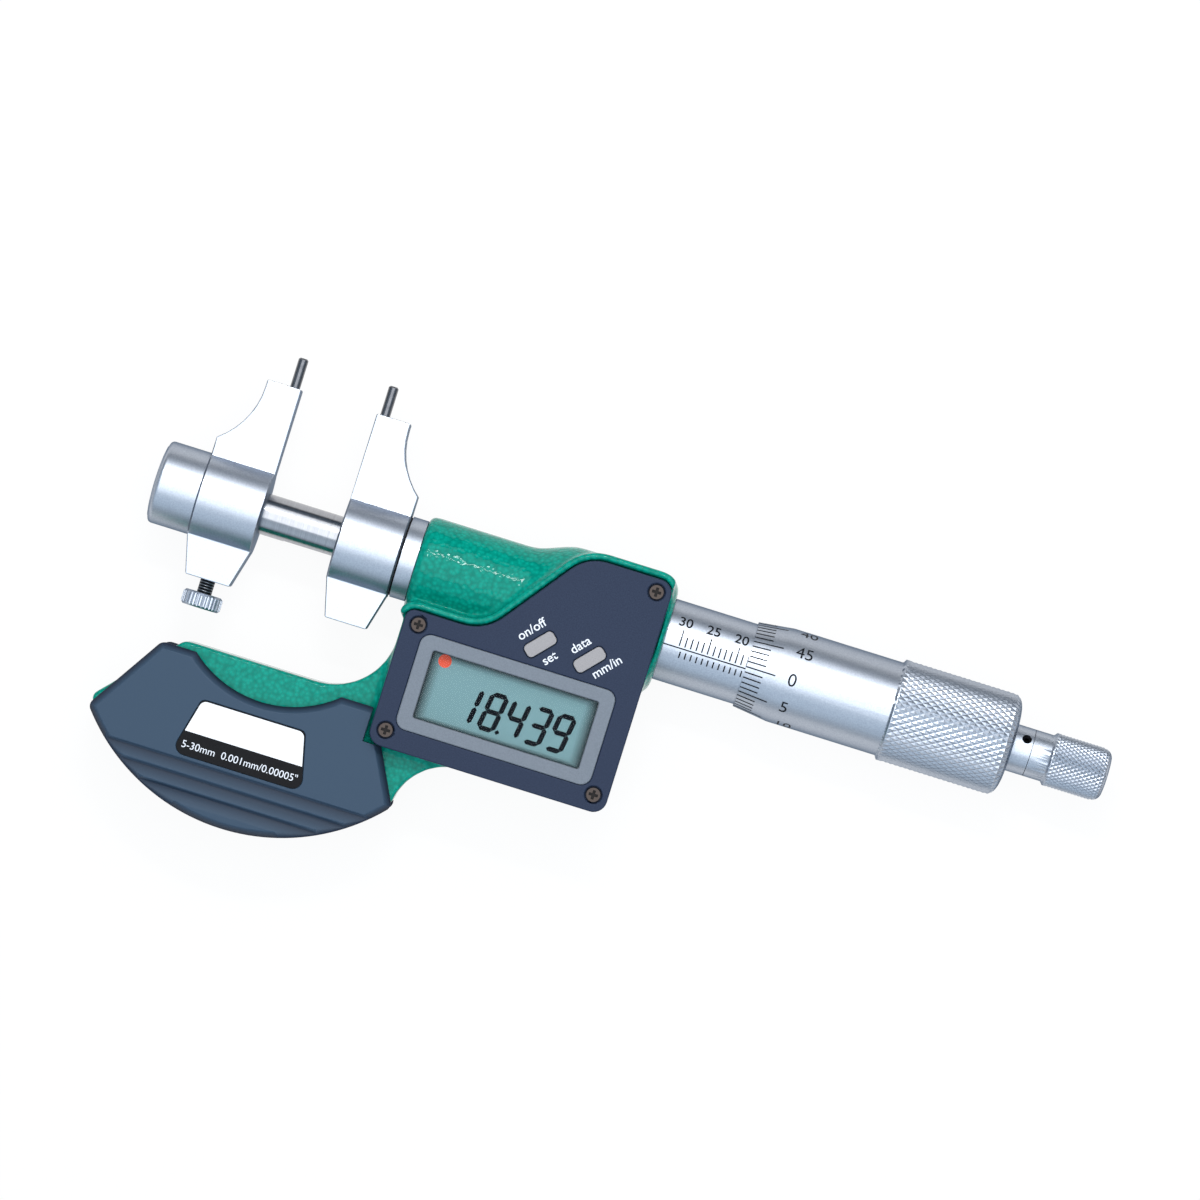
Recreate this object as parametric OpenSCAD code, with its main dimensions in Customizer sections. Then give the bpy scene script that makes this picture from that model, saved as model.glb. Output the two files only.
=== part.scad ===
// Digital inside micrometer with caliper jaws, lying on its flat back.
// X runs along the spindle towards the ratchet, Y towards the measuring pins, Z up through the display.

/* [Measuring range] */
// Reading over the two pins, as modelled
reading = 18; // [6:0.5:30]
// Smallest reading over the pins
reading_min = 5; // [4.5:0.5:6]
// Largest reading over the pins
reading_max = 30; // [30:0.5:32]

/* [Spindle axis] */
// Height of the spindle axis above the flat back
axis_z = 9.5; // [9.2:0.1:10.5]

/* [Measuring pins] */
// Diameter of a measuring pin
pin_d = 1.75; // [1.2:0.05:2]
// Length of pin that stands out of the arm
pin_len = 5.3; // [3:0.1:8]
// Length of pin that is pressed into the arm
pin_seat = 5; // [3:0.5:8]
// Distance from a jaw's inner face to its pin's centre
pin_edge = 1.35; // [1.2:0.05:1.45]

/* [Jaws] */
// Diameter of the round jaw bodies
jaw_d = 15.4; // [14.8:0.1:17]
// Length of the fixed jaw along the spindle
fixed_jaw_len = 11; // [10:0.5:13]
// Length of the moving jaw along the spindle
moving_jaw_len = 11.5; // [10:0.5:13]
// Height of an arm's top above the axis
arm_rise = 22.2; // [20:0.5:26]
// Width of an arm at its top
arm_w = 6.1; // [5:0.1:7]
// Thickness of the arms and lugs
arm_t = 6; // [5:0.5:7]
// Radius of the hollow on an arm's outer side
arm_hollow_r = 13.5; // [12:0.5:16]
// Straight stretch below an arm's top
arm_land = 1.2; // [0.5:0.1:3]
// Depth of a lug's foot below the axis
lug_drop = 13.8; // [12:0.2:15]
// How far each side of a lug draws in
lug_draw = 1.8; // [0.5:0.1:2.5]

/* [End cap] */
// Diameter of the end cap
cap_d = 14.6; // [13:0.1:15.4]
// Length of the end cap at its rim
cap_len = 7.4; // [6.5:0.1:9]
// Crown of the cap's end face
cap_crown = 0.6; // [0.2:0.1:1.2]

/* [Rod and spindle] */
// Diameter of the sliding rod
rod_d = 7.2; // [6.8:0.1:7.6]
// Diameter of the spindle inside the rod
journal_d = 4.4; // [3.6:0.1:4.6]
// Diameter of the spindle behind the rod
spindle_d = 6.4; // [6:0.1:6.6]
// Diameter of the spindle's screw
screw_d = 7; // [6.8:0.1:7.4]
// Width of the rod's keyway
keyway_w = 1.8; // [1.4:0.1:2]
// Depth of the rod's keyway
keyway_depth = 0.8; // [0.5:0.1:0.9]

/* [Front bush] */
// Diameter of the bush's collar
collar_d = 14.4; // [13:0.1:15]
// Length of the collar
collar_len = 2.75; // [2:0.25:4]
// Diameter of the bush inside the frame
bush_d = 11; // [10.6:0.1:12]
// Diameter of the nose that carries the fixed jaw
nose_d = 10; // [9:0.1:10.5]
// Length of the bush inside the frame
bush_len = 16; // [12:1:18]
// Thickness of the gasket behind the fixed jaw
gasket_t = 0.3; // [0.2:0.1:0.6]

/* [Housing] */
// Width of the front cover
cover_w = 42.3; // [41:0.5:46]
// Depth of the cover's lower edge below the axis
cover_drop = 31.9; // [31:0.5:34]
// Height of the cover's upper edge above the axis
cover_rise = 9.5; // [9:0.1:10.5]
// Depth of the cover's step below the axis
cover_step = 7.9; // [7.5:0.1:8.5]
// Place along X where the cover's ramp leaves the step
ramp_x = -7.5; // [-9:0.5:-6.5]
// Steepness of the cover's ramp
ramp_angle = 53; // [48:1:58]
// Corner radius of the cover
cover_corner = 2.4; // [1.5:0.1:3]
// Thickness of the cover
cover_t = 2.6; // [2.4:0.1:3]
// Thickness of the housing from its back to the cover's face
housing_t = 20; // [19.6:0.1:21]
// Thickness of the housing's side walls
wall = 2.2; // [1.8:0.1:2.5]
// Thickness of the housing's floor
floor_t = 3.6; // [3.2:0.1:4]
// Width of the frame's rim round the cover
rim_w = 1.4; // [1:0.1:2]

/* [Barrel] */
// Diameter of the barrel in front of the housing
barrel_d = 16.6; // [16:0.1:17.5]
// How far the barrel stands out in front of the cover
barrel_nose = 1.15; // [0.5:0.05:2]
// How far the boss stands out behind the cover
boss_nose = 1.15; // [0.5:0.05:2]
// Radius of the boss's rear corner
boss_corner = 3; // [2:0.25:3.5]

/* [Bow] */
// Thickness of the bow
bow_t = 12; // [10:0.5:13]
// Place of the bow's centre along X
bow_x = -40.5; // [-42:0.5:-40]
// Depth of the bow's centre below the axis
bow_drop = 18.1; // [17.5:0.1:18.6]
// Outer radius of the bow
bow_r = 34.8; // [34:0.1:35.2]
// Depth of the bow's inner edge below the axis
throat_drop = 24.7; // [23:0.1:25]
// Radius between the bow's inner edge and the housing
throat_r = 11; // [8:0.5:13]
// Length of the bow's straight inner edge
throat_len = 23.6; // [22:0.2:25]
// Radius between the housing's underside and the bow
neck_r = 10; // [9:0.5:11]

/* [Grip plates] */
// Thickness of a grip plate
grip_t = 2.6; // [2:0.1:2.8]
// Outer radius of a grip plate
grip_r = 35.5; // [35.3:0.1:36]
// Radius of the scoop in a grip plate's upper edge
scoop_r = 19.7; // [18:0.1:21]
// Depth of the scoop's lowest point below the axis
scoop_drop = 30.9; // [30:0.1:32]
// Depth of a grip plate's upper edge below the axis
grip_top = 26; // [25.6:0.1:27]
// Width of the bevelled edge
grip_bevel = 1.1; // [0.6:0.1:1.3]
// Depth of a finger groove
groove_depth = 0.8; // [0.4:0.1:1]
// Spacing of the finger grooves
groove_pitch = 2.5; // [2:0.1:2.6]
// Depth of the first finger groove below the axis
groove_drop = 44.5; // [44.2:0.1:45]

/* [Label plate] */
// Width of the label plate at its top
label_top_w = 18.4; // [15:0.2:20]
// Width of the label plate at its foot
label_foot_w = 23.2; // [20:0.2:24]
// Height of the label plate
label_h = 9.9; // [8:0.1:10]
// Thickness of the label plate
label_t = 0.5; // [0.3:0.1:0.7]

/* [Display] */
// Distance from the cover's sides to the bezel
bezel_side = 3.75; // [3.65:0.05:4.5]
// Height of the bezel
bezel_h = 16.9; // [15.5:0.1:17]
// Depth of the bezel's centre below the axis
bezel_drop = 19.6; // [19.4:0.1:19.8]
// Distance from the bezel's sides to the display's opening
view_side = 2.6; // [2.4:0.1:4]
// Height of the display's opening
view_h = 12; // [10.5:0.1:12.2]
// How far the bezel stands proud of the cover
bezel_proud = 0.15; // [0.05:0.05:0.4]
// Thickness of the window
window_t = 1; // [0.6:0.1:1.2]
// Thickness of the display glass
lcd_t = 1.6; // [1:0.1:1.8]

/* [Buttons] */
// Length of a button
button_len = 5.7; // [5:0.1:6.2]
// Width of a button
button_w = 2.4; // [2:0.1:2.8]
// Slant of the buttons
button_angle = 48; // [40:1:55]
// How far a button stands proud of the cover
button_proud = 0.45; // [0.4:0.05:0.8]
// Travel of a button
button_travel = 0.35; // [0.2:0.05:0.4]
// Distance of the first button from the cover's rear edge
power_in = 18.85; // [18.2:0.05:19.5]
// Distance of the second button from the cover's rear edge
data_in = 10.05; // [9.75:0.05:10.75]
// Depth of the buttons below the axis
button_drop = 7.2; // [7.1:0.1:7.3]

/* [Sleeves] */
// Diameter of the graduated sleeve
sleeve_d = 14.4; // [14:0.1:14.8]
// Length of the graduated sleeve
sleeve_len = 31.5; // [31:0.5:32]
// Diameter of the inner sleeve
stem_d = 12.6; // [12:0.1:12.8]
// Length of the inner sleeve behind the frame
stem_len = 36; // [36:0.5:39]
// Length of the inner sleeve inside the frame
stem_seat = 8; // [7:0.5:8.5]
// Length of the spindle nut's thread
nut_len = 14; // [10:0.5:16]
// Distance from the frame to the first graduation
scale_start = 2.7; // [2:0.1:3]

/* [Thimble] */
// Diameter of the thimble
thimble_d = 16.7; // [16.3:0.1:17]
// Diameter of the thimble's graduated edge
thimble_edge_d = 15.1; // [14.9:0.05:15.3]
// Length of the thimble's bevel
thimble_bevel = 6.2; // [4:0.2:8]
// Length of the thimble
thimble_len = 47.7; // [46:0.1:50]
// Diameter over the knurled grip
knurl_d = 18; // [17.4:0.1:18.3]
// Length of the knurled grip
knurl_len = 21.9; // [16:0.1:24]
// Thickness of the thimble's end
thimble_end_t = 7.7; // [6:0.1:8.2]

/* [Ratchet] */
// Diameter of the ratchet's neck
neck_d = 8.3; // [7.8:0.1:8.6]
// Length of the ratchet's base
base_len = 3.3; // [3:0.1:4.5]
// Length of the knob's plain neck
knob_neck_len = 3.2; // [2.5:0.1:4]
// Length of the knob's knurled grip
knob_grip_len = 10.6; // [9.5:0.1:12]
// Diameter over the knob's knurled grip
knob_d = 9.4; // [9:0.1:10]
// Diameter of the base's axle
axle_d = 4.4; // [4:0.1:4.6]
// Diameter of the grub screw
grub_d = 1.7; // [1.4:0.1:1.8]
// Angle of the grub screw from the display's side
grub_angle = 31; // [0:1:60]

/* [Lock screw] */
// Diameter of the lock screw's stud
stud_d = 2.6; // [2.2:0.1:3]
// Diameter of the lock screw's head
lock_head_d = 7; // [6:0.1:8]
// Height of the lock screw's head
lock_head_h = 2.6; // [2:0.1:3.5]
// Gap between the lug and the head
lock_gap = 2.4; // [1.5:0.1:3]
// Number of flutes round the head
flutes = 30; // [20:1:36]

/* [Battery] */
// Diameter of the button cell
cell_d = 11.6; // [9.5:0.1:11.6]
// Height of the button cell
cell_h = 5.4; // [3:0.1:5.4]
// Diameter of the battery lid
lid_d = 16; // [15:0.1:17]
// Thickness of the lid's flange
lid_t = 1.3; // [1:0.1:1.4]
// Distance of the battery from the cover's front edge
cell_in = 15.15; // [14.65:0.1:16.15]
// Depth of the battery below the axis
cell_drop = 20; // [19.5:0.5:20.5]

/* [Cover screws] */
// Diameter of a cover screw's head
screw_head_d = 2.4; // [2:0.1:2.6]
// Diameter of a cover screw's shank
screw_shank_d = 1.6; // [1.2:0.1:1.8]
// Length of a cover screw
screw_len = 8; // [6:0.5:10]
// Distance of the screws from the cover's edges
screw_inset = 2.6; // [2.5:0.1:2.7]

/* [Hidden] */

// Clearances
seat_gap = 0.02;
run_gap = 0.05;
thrust_gap = 0.1;
slip_gap = 0.2;
eps = 0.01;
big = 400;
over = 1;

// Fineness of round shapes
$fn = 96;
arc_steps = 7;
bow_steps = 30;

// Finishes
green = [0.05, 0.60, 0.50];
navy = [0.20, 0.23, 0.33];
slate = [0.26, 0.34, 0.44];
satin = [0.74, 0.78, 0.82];
bright = [0.80, 0.80, 0.81];
black = [0.08, 0.08, 0.09];
bronze = [0.30, 0.24, 0.20];
brass = [0.78, 0.62, 0.30];
grey = [0.50, 0.55, 0.60];
button_grey = [0.71, 0.69, 0.70];
board_green = [0.10, 0.35, 0.20];
clear = [0.85, 0.92, 0.92];
lcd_tint = [0.55, 0.72, 0.70];
white = [0.92, 0.92, 0.92];

// Radii
jaw_r = jaw_d / 2;
rod_r = rod_d / 2;
journal_r = journal_d / 2;
spindle_r = spindle_d / 2;
screw_r = screw_d / 2;
sleeve_r = sleeve_d / 2;
stem_r = stem_d / 2;
barrel_r = barrel_d / 2;
pin_r = pin_d / 2;

// Places along the spindle, from the housing to the jaws
cover_x0 = -cover_w / 2;
cover_x1 = cover_w / 2;
bezel_w = cover_w - 2 * bezel_side;
view_w = bezel_w - 2 * view_side;
power_x = cover_x1 - power_in;
data_x = cover_x1 - data_in;
cell_x = cover_x0 + cell_in;
barrel_x0 = cover_x0 - barrel_nose;
boss_x1 = cover_x1 + boss_nose;
collar_x0 = barrel_x0 - collar_len;
fixed_jaw_x1 = collar_x0 - gasket_t;
fixed_jaw_x0 = fixed_jaw_x1 - fixed_jaw_len;
fixed_pin_x = fixed_jaw_x0 + pin_edge;
moving_pin_x = fixed_pin_x - (reading - pin_d);
moving_jaw_x1 = moving_pin_x + pin_edge;
moving_jaw_x0 = moving_jaw_x1 - moving_jaw_len;
lock_x = (moving_jaw_x0 + moving_jaw_x1) / 2;
key_x = (fixed_jaw_x0 + fixed_jaw_x1) / 2;

// Travel left before the largest reading, and right before the smallest
travel_out = reading_max - reading;
travel_in = reading - reading_min;

// Places along the spindle, from the housing to the ratchet
thimble_x0 = boss_x1 + scale_start + travel_out;
thimble_x1 = thimble_x0 + thimble_len;
thimble_end_x = thimble_x1 - thimble_end_t;
stem_x0 = boss_x1 - stem_seat;
stem_x1 = boss_x1 + stem_len;
nut_x0 = stem_x1 - nut_len;
base_x1 = thimble_x1 + base_len;
knob_x0 = base_x1 + thrust_gap;
knob_grip_x0 = knob_x0 + knob_neck_len;
knob_x1 = knob_grip_x0 + knob_grip_len;

// The rod still fills the bush at the largest reading
rod_hold = 5.3;
rod_x1 = barrel_x0 + rod_hold + travel_out;
bush_x1 = barrel_x0 + bush_len;

// Encoder in front of the inner sleeve
stator_t = 1;
rotor_t = 2.2;
encoder_gap = 0.3;
stator_x0 = stem_x0 - stator_t;
rotor_x0 = stator_x0 - encoder_gap - rotor_t;
encoder_x0 = rotor_x0 - encoder_gap;
rotor_room = 0.5;
rotor_r = stem_r - rotor_room;
rotor_key_w = 1;
rotor_key_h = 0.6;

// Heights through the housing
seat_z = housing_t - cover_t;
cover_stand = 0.6;
rim_z = housing_t - cover_stand;
board_t = 1;
board_drop = 2;
board_z1 = seat_z - board_drop;
board_z0 = board_z1 - board_t;
bezel_z1 = housing_t + bezel_proud;
window_sink = 1;
window_z1 = bezel_z1 - window_sink;
window_z0 = window_z1 - window_t;
lcd_z1 = window_z0;
lcd_z0 = lcd_z1 - lcd_t;
bow_z0 = axis_z - bow_t / 2;
bow_z1 = axis_z + bow_t / 2;
ledge = 1.3;
board_gap = 0.2;

// Round-cornered outlines: each point is [x, y, corner radius], anticlockwise
function unit(v) = v / norm(v);
function turn(a, b) = a[0] * b[1] - a[1] * b[0];
function corner(a, b, c, r, n) =
  let(
    u = unit(a - b),
    v = unit(c - b),
    half = acos(max(-1, min(1, u * v))) / 2,
    reach = r / tan(half),
    middle = b + unit(u + v) * r / sin(half),
    start = b + u * reach - middle,
    sweep = (180 - 2 * half) * (turn(u, v) < 0 ? 1 : -1),
    from = atan2(start[1], start[0])
  )
  [for (i = [0:n]) middle + r * [cos(from + sweep * i / n), sin(from + sweep * i / n)]];
function flat2(p) = [p[0], p[1]];
function rounded(p, n = arc_steps) =
  let(count = len(p))
  [
    for (i = [0:count - 1])
      let(a = flat2(p[(i + count - 1) % count]), b = flat2(p[i]), c = flat2(p[(i + 1) % count]))
        each (p[i][2] == 0 ? [b] : corner(a, b, c, p[i][2], n))
  ];
function arc(middle, r, from, to, n) =
  [for (i = [0:n]) let(a = from + (to - from) * i / n) [middle[0] + r * cos(a), middle[1] + r * sin(a), 0]];
function rectangle(w, h, r) =
  [[-w / 2, -h / 2, r], [w / 2, -h / 2, r], [w / 2, h / 2, r], [-w / 2, h / 2, r]];

// A solid turned about the spindle axis from points of [radius, x]
module turned(points) {
  translate([0, 0, axis_z])
    rotate([0, 90, 0])
      rotate_extrude()
        polygon(points);
}

// A plain cylinder on the spindle axis
module rod_between(x0, x1, r) {
  translate([x0, 0, axis_z])
    rotate([0, 90, 0])
      cylinder(h = x1 - x0, r = r);
}

// A tube on the spindle axis
module tube_between(x0, x1, r_out, r_in) {
  difference() {
    rod_between(x0, x1, r_out);
    rod_between(x0 - eps, x1 + eps, r_in);
  }
}

// A cylinder along Y at the spindle's height
module pillar(x, y0, y1, r) {
  translate([x, y0, axis_z])
    rotate([-90, 0, 0])
      cylinder(h = y1 - y0, r = r);
}

// A coil spring along Z
module coil(r, wire_d, h, turns) {
  steps = 12;
  sides = 6;
  rings = turns * steps;
  climb = h - wire_d;
  polyhedron(
    points = [
      for (i = [0:rings])
        for (j = [0:sides - 1])
          let(
            a = 360 * i / steps,
            b = 360 * j / sides,
            out = r + wire_d / 2 * cos(b),
            up = wire_d / 2 + climb * i / rings + wire_d / 2 * sin(b)
          )
          [out * cos(a), out * sin(a), up]
    ],
    faces = [
      [for (j = [sides - 1:-1:0]) j],
      for (i = [0:rings - 1])
        for (j = [0:sides - 1])
          let(k = (j + 1) % sides)
            [i * sides + j, i * sides + k, (i + 1) * sides + k, (i + 1) * sides + j],
      [for (j = [0:sides - 1]) rings * sides + j]
    ]
  );
}

// Rounded outline of a button, grown by g
button_corner = 0.8;
module button_2d(g = 0) {
  rotate(button_angle)
    polygon(rounded(rectangle(button_len + 2 * g, button_w + 2 * g, button_corner + g)));
}

// Cover outline, with its step and ramp
ramp_top_x = ramp_x + (cover_step + cover_rise) / tan(ramp_angle);
ramp_foot_r = 8;
ramp_top_r = 7;
step_corner = 1.6;
cover_points = rounded([
  [cover_x0, -cover_drop, cover_corner],
  [cover_x1, -cover_drop, cover_corner],
  [cover_x1, cover_rise, cover_corner],
  [ramp_top_x, cover_rise, ramp_top_r],
  [ramp_x, -cover_step, ramp_foot_r],
  [cover_x0, -cover_step, step_corner]
]);

// Cover screws, clockwise from the step
screw_up = 0.3;
screw_places = [
  [cover_x0 + screw_inset, -cover_step - screw_inset + screw_up],
  [cover_x1 - screw_inset, cover_rise - screw_inset + screw_up],
  [cover_x1 - screw_inset, -cover_drop + screw_inset + screw_up],
  [cover_x0 + screw_inset, -cover_drop + screw_inset + screw_up]
];
screw_sink = 0.3;
screw_head_h = 1;
screw_well_gap = 0.3;
screw_boss_r = 2.2;
cross_len = 1.6;
cross_w = 0.5;
cross_depth = 0.5;

// Bow outline: throat, straight inner edge, slanted end, outer arc and neck
body_out = 0.25;
body_in = 0.2;
body_x0 = cover_x0 - body_out;
body_x1 = cover_x1 - body_in;
body_y0 = -cover_drop + body_in;
bow_y = -bow_drop;
bow_tip_angle = 215.8;
bow_heel_angle = 319.5;
bow_tip_r = 1.2;
bow_end_r = 2;
throat_from = -10;
bow_end_x = body_x0 - throat_r - throat_len;
bow_arc = arc([bow_x, bow_y], bow_r, bow_tip_angle, bow_heel_angle, bow_steps);
bow_heel = bow_arc[bow_steps];
neck_y = body_y0 - neck_r;
neck_x = bow_heel[0] + sqrt(max(eps, neck_r * neck_r - pow(bow_heel[1] - neck_y, 2)));
neck_from = atan2(bow_heel[1] - neck_y, bow_heel[0] - neck_x);
bow_points = rounded(concat(
  [[body_x0 + wall, -throat_drop + throat_r, 0], [body_x0, -throat_drop + throat_r, 0]],
  [for (p = arc([body_x0 - throat_r, -throat_drop + throat_r], throat_r, throat_from, -90, arc_steps)) p],
  [[bow_end_x, -throat_drop, bow_end_r]],
  [[bow_arc[0][0], bow_arc[0][1], bow_tip_r]],
  [for (i = [1:bow_steps]) bow_arc[i]],
  [for (i = [1:arc_steps]) arc([neck_x, neck_y], neck_r, neck_from, 90, arc_steps)[i]],
  [[neck_x, body_y0 + wall, 0], [body_x0 + wall, body_y0 + wall, 0]]
));

// Grip plate: straight sides, whose slanted ends run into tangents of the round outer edge
grip_gap = 0.35;
grip_tip_angle = 218;
grip_heel_angle = 319;
grip_corner = 1.5;
grip_left = 19.1;
grip_heel = 2.9;
grip_inner_x = body_x0 - grip_gap;
grip_inner_y = body_y0 - grip_gap;
grip_middle = (grip_tip_angle + grip_heel_angle) / 2;
grip_tangent_r = grip_r / cos(grip_heel_angle - grip_middle);
function on_bow(r, a) = [bow_x + r * cos(a), bow_y + r * sin(a)];
grip_corners = [
  [bow_x - grip_left, -grip_top, grip_corner],
  [each on_bow(grip_r, grip_tip_angle), grip_corner],
  [each on_bow(grip_tangent_r, grip_middle), 0],
  [each on_bow(grip_r, grip_heel_angle), grip_corner],
  [body_x0 + grip_heel, grip_inner_y, 0],
  [grip_inner_x, grip_inner_y, 0],
  [grip_inner_x, -grip_top, 0]
];
grip_bevelled = [0, 3, 6];
scoop_y = -scoop_drop + scoop_r;
grooves = 3;
groove_lower_w = 3.6;
groove_upper_w = 1;
label_gap = 0.1;
label_x = -40.8;
label_drop = 38.4;
label_corner = 1;
label_foot_corner = 1.6;
label_points = rounded([
  [-label_foot_w / 2, -label_h / 2, label_foot_corner],
  [label_foot_w / 2, -label_h / 2, label_foot_corner],
  [label_top_w / 2, label_h / 2, label_corner],
  [-label_top_w / 2, label_h / 2, label_corner]
]);

// Battery compartment
lid_inset = 0.3;
lid_gap = 0.2;
lid_boss_wall = 1;
lid_boss_r = cell_d / 2 + lid_boss_wall;
lid_boss_h = 1.6;
seal_d = 0.7;
seal_gap = 0.02;
lid_z1 = lid_inset + lid_t;
seal_z = lid_z1 + seal_gap + seal_d / 2;
recess_z = seal_z + seal_d / 2 + seal_gap;
seal_r = lid_boss_r + 2 * run_gap + seal_d / 2;
cell_z0 = lid_z1 + lid_boss_h + thrust_gap;
cell_z1 = cell_z0 + cell_h;
holder_wall = 1.2;
holder_roof = 0.8;
holder_z1 = cell_z1 + holder_roof;
contact_hole_r = 3.2;
coin_slot_w = 1.4;
coin_slot_depth = 0.7;
coin_slot_end = 2;
coin_slot_len = lid_d - 2 * coin_slot_end;

// Data port in the lower wall: a recess for its cover, and a smaller hole to the socket
port_in = 11.15;
port_x = cover_x1 - port_in;
port_w = 9;
port_h = 5;
port_z = 9;
port_t = 1.6;
port_ledge = 0.6;
port_gap = 0.05;
socket_depth = 2.4;
socket_y = -cover_drop + wall + ledge;
module port_block(y0, y1, shrink) {
  translate([port_x - port_w / 2 + shrink, y0, port_z - port_h / 2 + shrink])
    cube([port_w - 2 * shrink, y1 - y0, port_h - 2 * shrink]);
}

// Barrel and boss
barrel_corner = 1.2;
barrel_swell_x0 = -4.6;
barrel_swell_x1 = 4.6;
swell_steps = 8;
boss_draw = 0.2;
boss_r = cover_rise + rim_w - boss_draw;
rod_room = 0.8;

// Barrel that swells into the boss along a soft S
module barrel() {
  swell = boss_r - barrel_r;
  span = barrel_swell_x1 - barrel_swell_x0;
  turned(concat(
    [[0, barrel_x0]],
    [
      for (i = [0:arc_steps])
        let(a = 90 * i / arc_steps)
          [barrel_r - barrel_corner * (1 - sin(a)), barrel_x0 + barrel_corner * (1 - cos(a))]
    ],
    [
      for (i = [0:swell_steps])
        [barrel_r + swell * (1 - cos(180 * i / swell_steps)) / 2, barrel_swell_x0 + span * i / swell_steps]
    ],
    [
      for (i = [0:arc_steps])
        let(a = 90 * i / arc_steps)
          [boss_r - boss_corner * (1 - cos(a)), boss_x1 - boss_corner * (1 - sin(a))]
    ],
    [[0, boss_x1]]
  ));
}

// Rim round the cover beside the barrel and the boss
module rim_2d() {
  intersection() {
    offset(r = rim_w)
      polygon(cover_points);
    translate([barrel_x0, -cover_step - rim_w])
      square([boss_x1 - barrel_x0 - boss_corner / 3, big]);
  }
}

// Well for the circuit board, clear of the screw bosses
board_margin = 1.2;
board_lap = 2;
board_x0 = power_x - button_len / 2 - board_margin;
board_x1 = data_x + button_len / 2 + board_margin;
board_y1 = -button_drop + board_lap;
module board_2d(shrink = 0) {
  difference() {
    union() {
      translate([cover_x0 + wall + shrink, -cover_drop + wall + shrink])
        square([cover_w - 2 * wall - 2 * shrink, cover_drop - cover_step - 2 * wall - 2 * shrink]);
      translate([board_x0 + shrink, -cover_step - 2 * wall])
        square([board_x1 - board_x0 - 2 * shrink, board_y1 + cover_step + 2 * wall - shrink]);
    }
    for (p = screw_places)
      translate(p)
        circle(r = screw_boss_r + shrink);
  }
}

// Deep well behind the circuit board
module deep_2d() {
  difference() {
    translate([cover_x0 + wall + ledge, -cover_drop + wall + ledge])
      square([cover_w - 2 * wall - 2 * ledge, cover_drop - cover_step - 2 * wall - 2 * ledge]);
    for (p = screw_places)
      translate(p)
        circle(r = screw_boss_r + ledge);
  }
}

flange_grow = 0.5;
flange_t = 0.5;
flange_room = 0.3;
switch_h = 1;
button_z0 = seat_z - thrust_gap / 2 - flange_t;
flange_floor_z = button_z0 - button_travel - flange_room;
button_places = [[power_x, -button_drop], [data_x, -button_drop]];

module frame() {
  color(green)
    difference() {
      union() {
        intersection() {
          barrel();
          translate([-big / 2, -big / 2, 0])
            cube([big, big, rim_z]);
        }
        linear_extrude(rim_z)
          rim_2d();
        linear_extrude(seat_z)
          polygon(rounded([
            [body_x0, body_y0, cover_corner],
            [body_x1, body_y0, cover_corner],
            [body_x1, -cover_step, 0],
            [body_x0, -cover_step, 0]
          ]));
        translate([0, 0, bow_z0])
          linear_extrude(bow_t)
            polygon(bow_points);
      }
      translate([0, 0, seat_z])
        linear_extrude(big)
          offset(delta = slip_gap)
            polygon(cover_points);
      translate([0, 0, board_z0])
        linear_extrude(big)
          board_2d();
      translate([0, 0, floor_t])
        linear_extrude(big)
          deep_2d();
      for (p = button_places)
        translate([p[0], p[1], flange_floor_z])
          linear_extrude(big)
            button_2d(flange_grow + flange_room);
      rod_between(barrel_x0 - over, bush_x1, bush_d / 2 + seat_gap);
      rod_between(barrel_x0, encoder_x0 + eps, rod_r + rod_room);
      rod_between(encoder_x0, boss_x1 + over, stem_r + seat_gap);
      for (p = screw_places)
        translate([p[0], p[1], housing_t - screw_len])
          cylinder(h = screw_len, r = screw_shank_d / 2 + seat_gap);
      translate([cell_x, -cell_drop, -over])
        cylinder(h = recess_z + over, r = lid_d / 2 + lid_gap);
      translate([cell_x, -cell_drop, 0])
        cylinder(h = floor_t + over, r = lid_boss_r + run_gap);
      port_block(body_y0 - over, body_y0 + port_t, 0);
      port_block(body_y0, socket_y + over, port_ledge);
    }
}

// Bush that guides the rod and carries the fixed jaw
bush_nose_back = 0.8;
module front_bush() {
  color(satin)
    difference() {
      turned([
        [rod_r + run_gap, fixed_jaw_x0 + bush_nose_back],
        [nose_d / 2, fixed_jaw_x0 + bush_nose_back],
        [nose_d / 2, collar_x0],
        [collar_d / 2, collar_x0],
        [collar_d / 2, barrel_x0 - seat_gap],
        [bush_d / 2, barrel_x0 - seat_gap],
        [bush_d / 2, bush_x1 - seat_gap],
        [rod_r + run_gap, bush_x1 - seat_gap]
      ]);
      pillar(key_x, -jaw_r, 0, key_r + seat_gap);
    }
}

// Jaw plate outline from its inner face at x = 0: arm with a hollow outer side, and a lug
lug_corner = 0.4;
arm_corner = 0.3;
lug_root_rise = 0.8;
lug_root = jaw_r - lug_root_rise;
function jaw_points(length) =
  let(
    middle = [arm_w + arm_hollow_r, arm_rise - arm_land],
    sweep = acos((middle[0] - length) / arm_hollow_r)
  )
  rounded(concat(
    [[lug_draw, -lug_drop, lug_corner], [length - lug_draw, -lug_drop, lug_corner], [length, -lug_root, 0]],
    arc(middle, arm_hollow_r, 180 + sweep, 180, arc_steps),
    [[arm_w, arm_rise, arm_corner], [0, arm_rise, arm_corner], [0, -lug_root, 0]]
  ));

// Solid jaw from its inner face at x = 0 to its outer face
jaw_chamfer = 0.3;
module jaw_blank(length) {
  turned([
    [0, 0],
    [jaw_r - jaw_chamfer, 0],
    [jaw_r, jaw_chamfer],
    [jaw_r, length - jaw_chamfer],
    [jaw_r - jaw_chamfer, length],
    [0, length]
  ]);
  translate([0, 0, axis_z - arm_t / 2])
    linear_extrude(arm_t)
      polygon(jaw_points(length));
}

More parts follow.
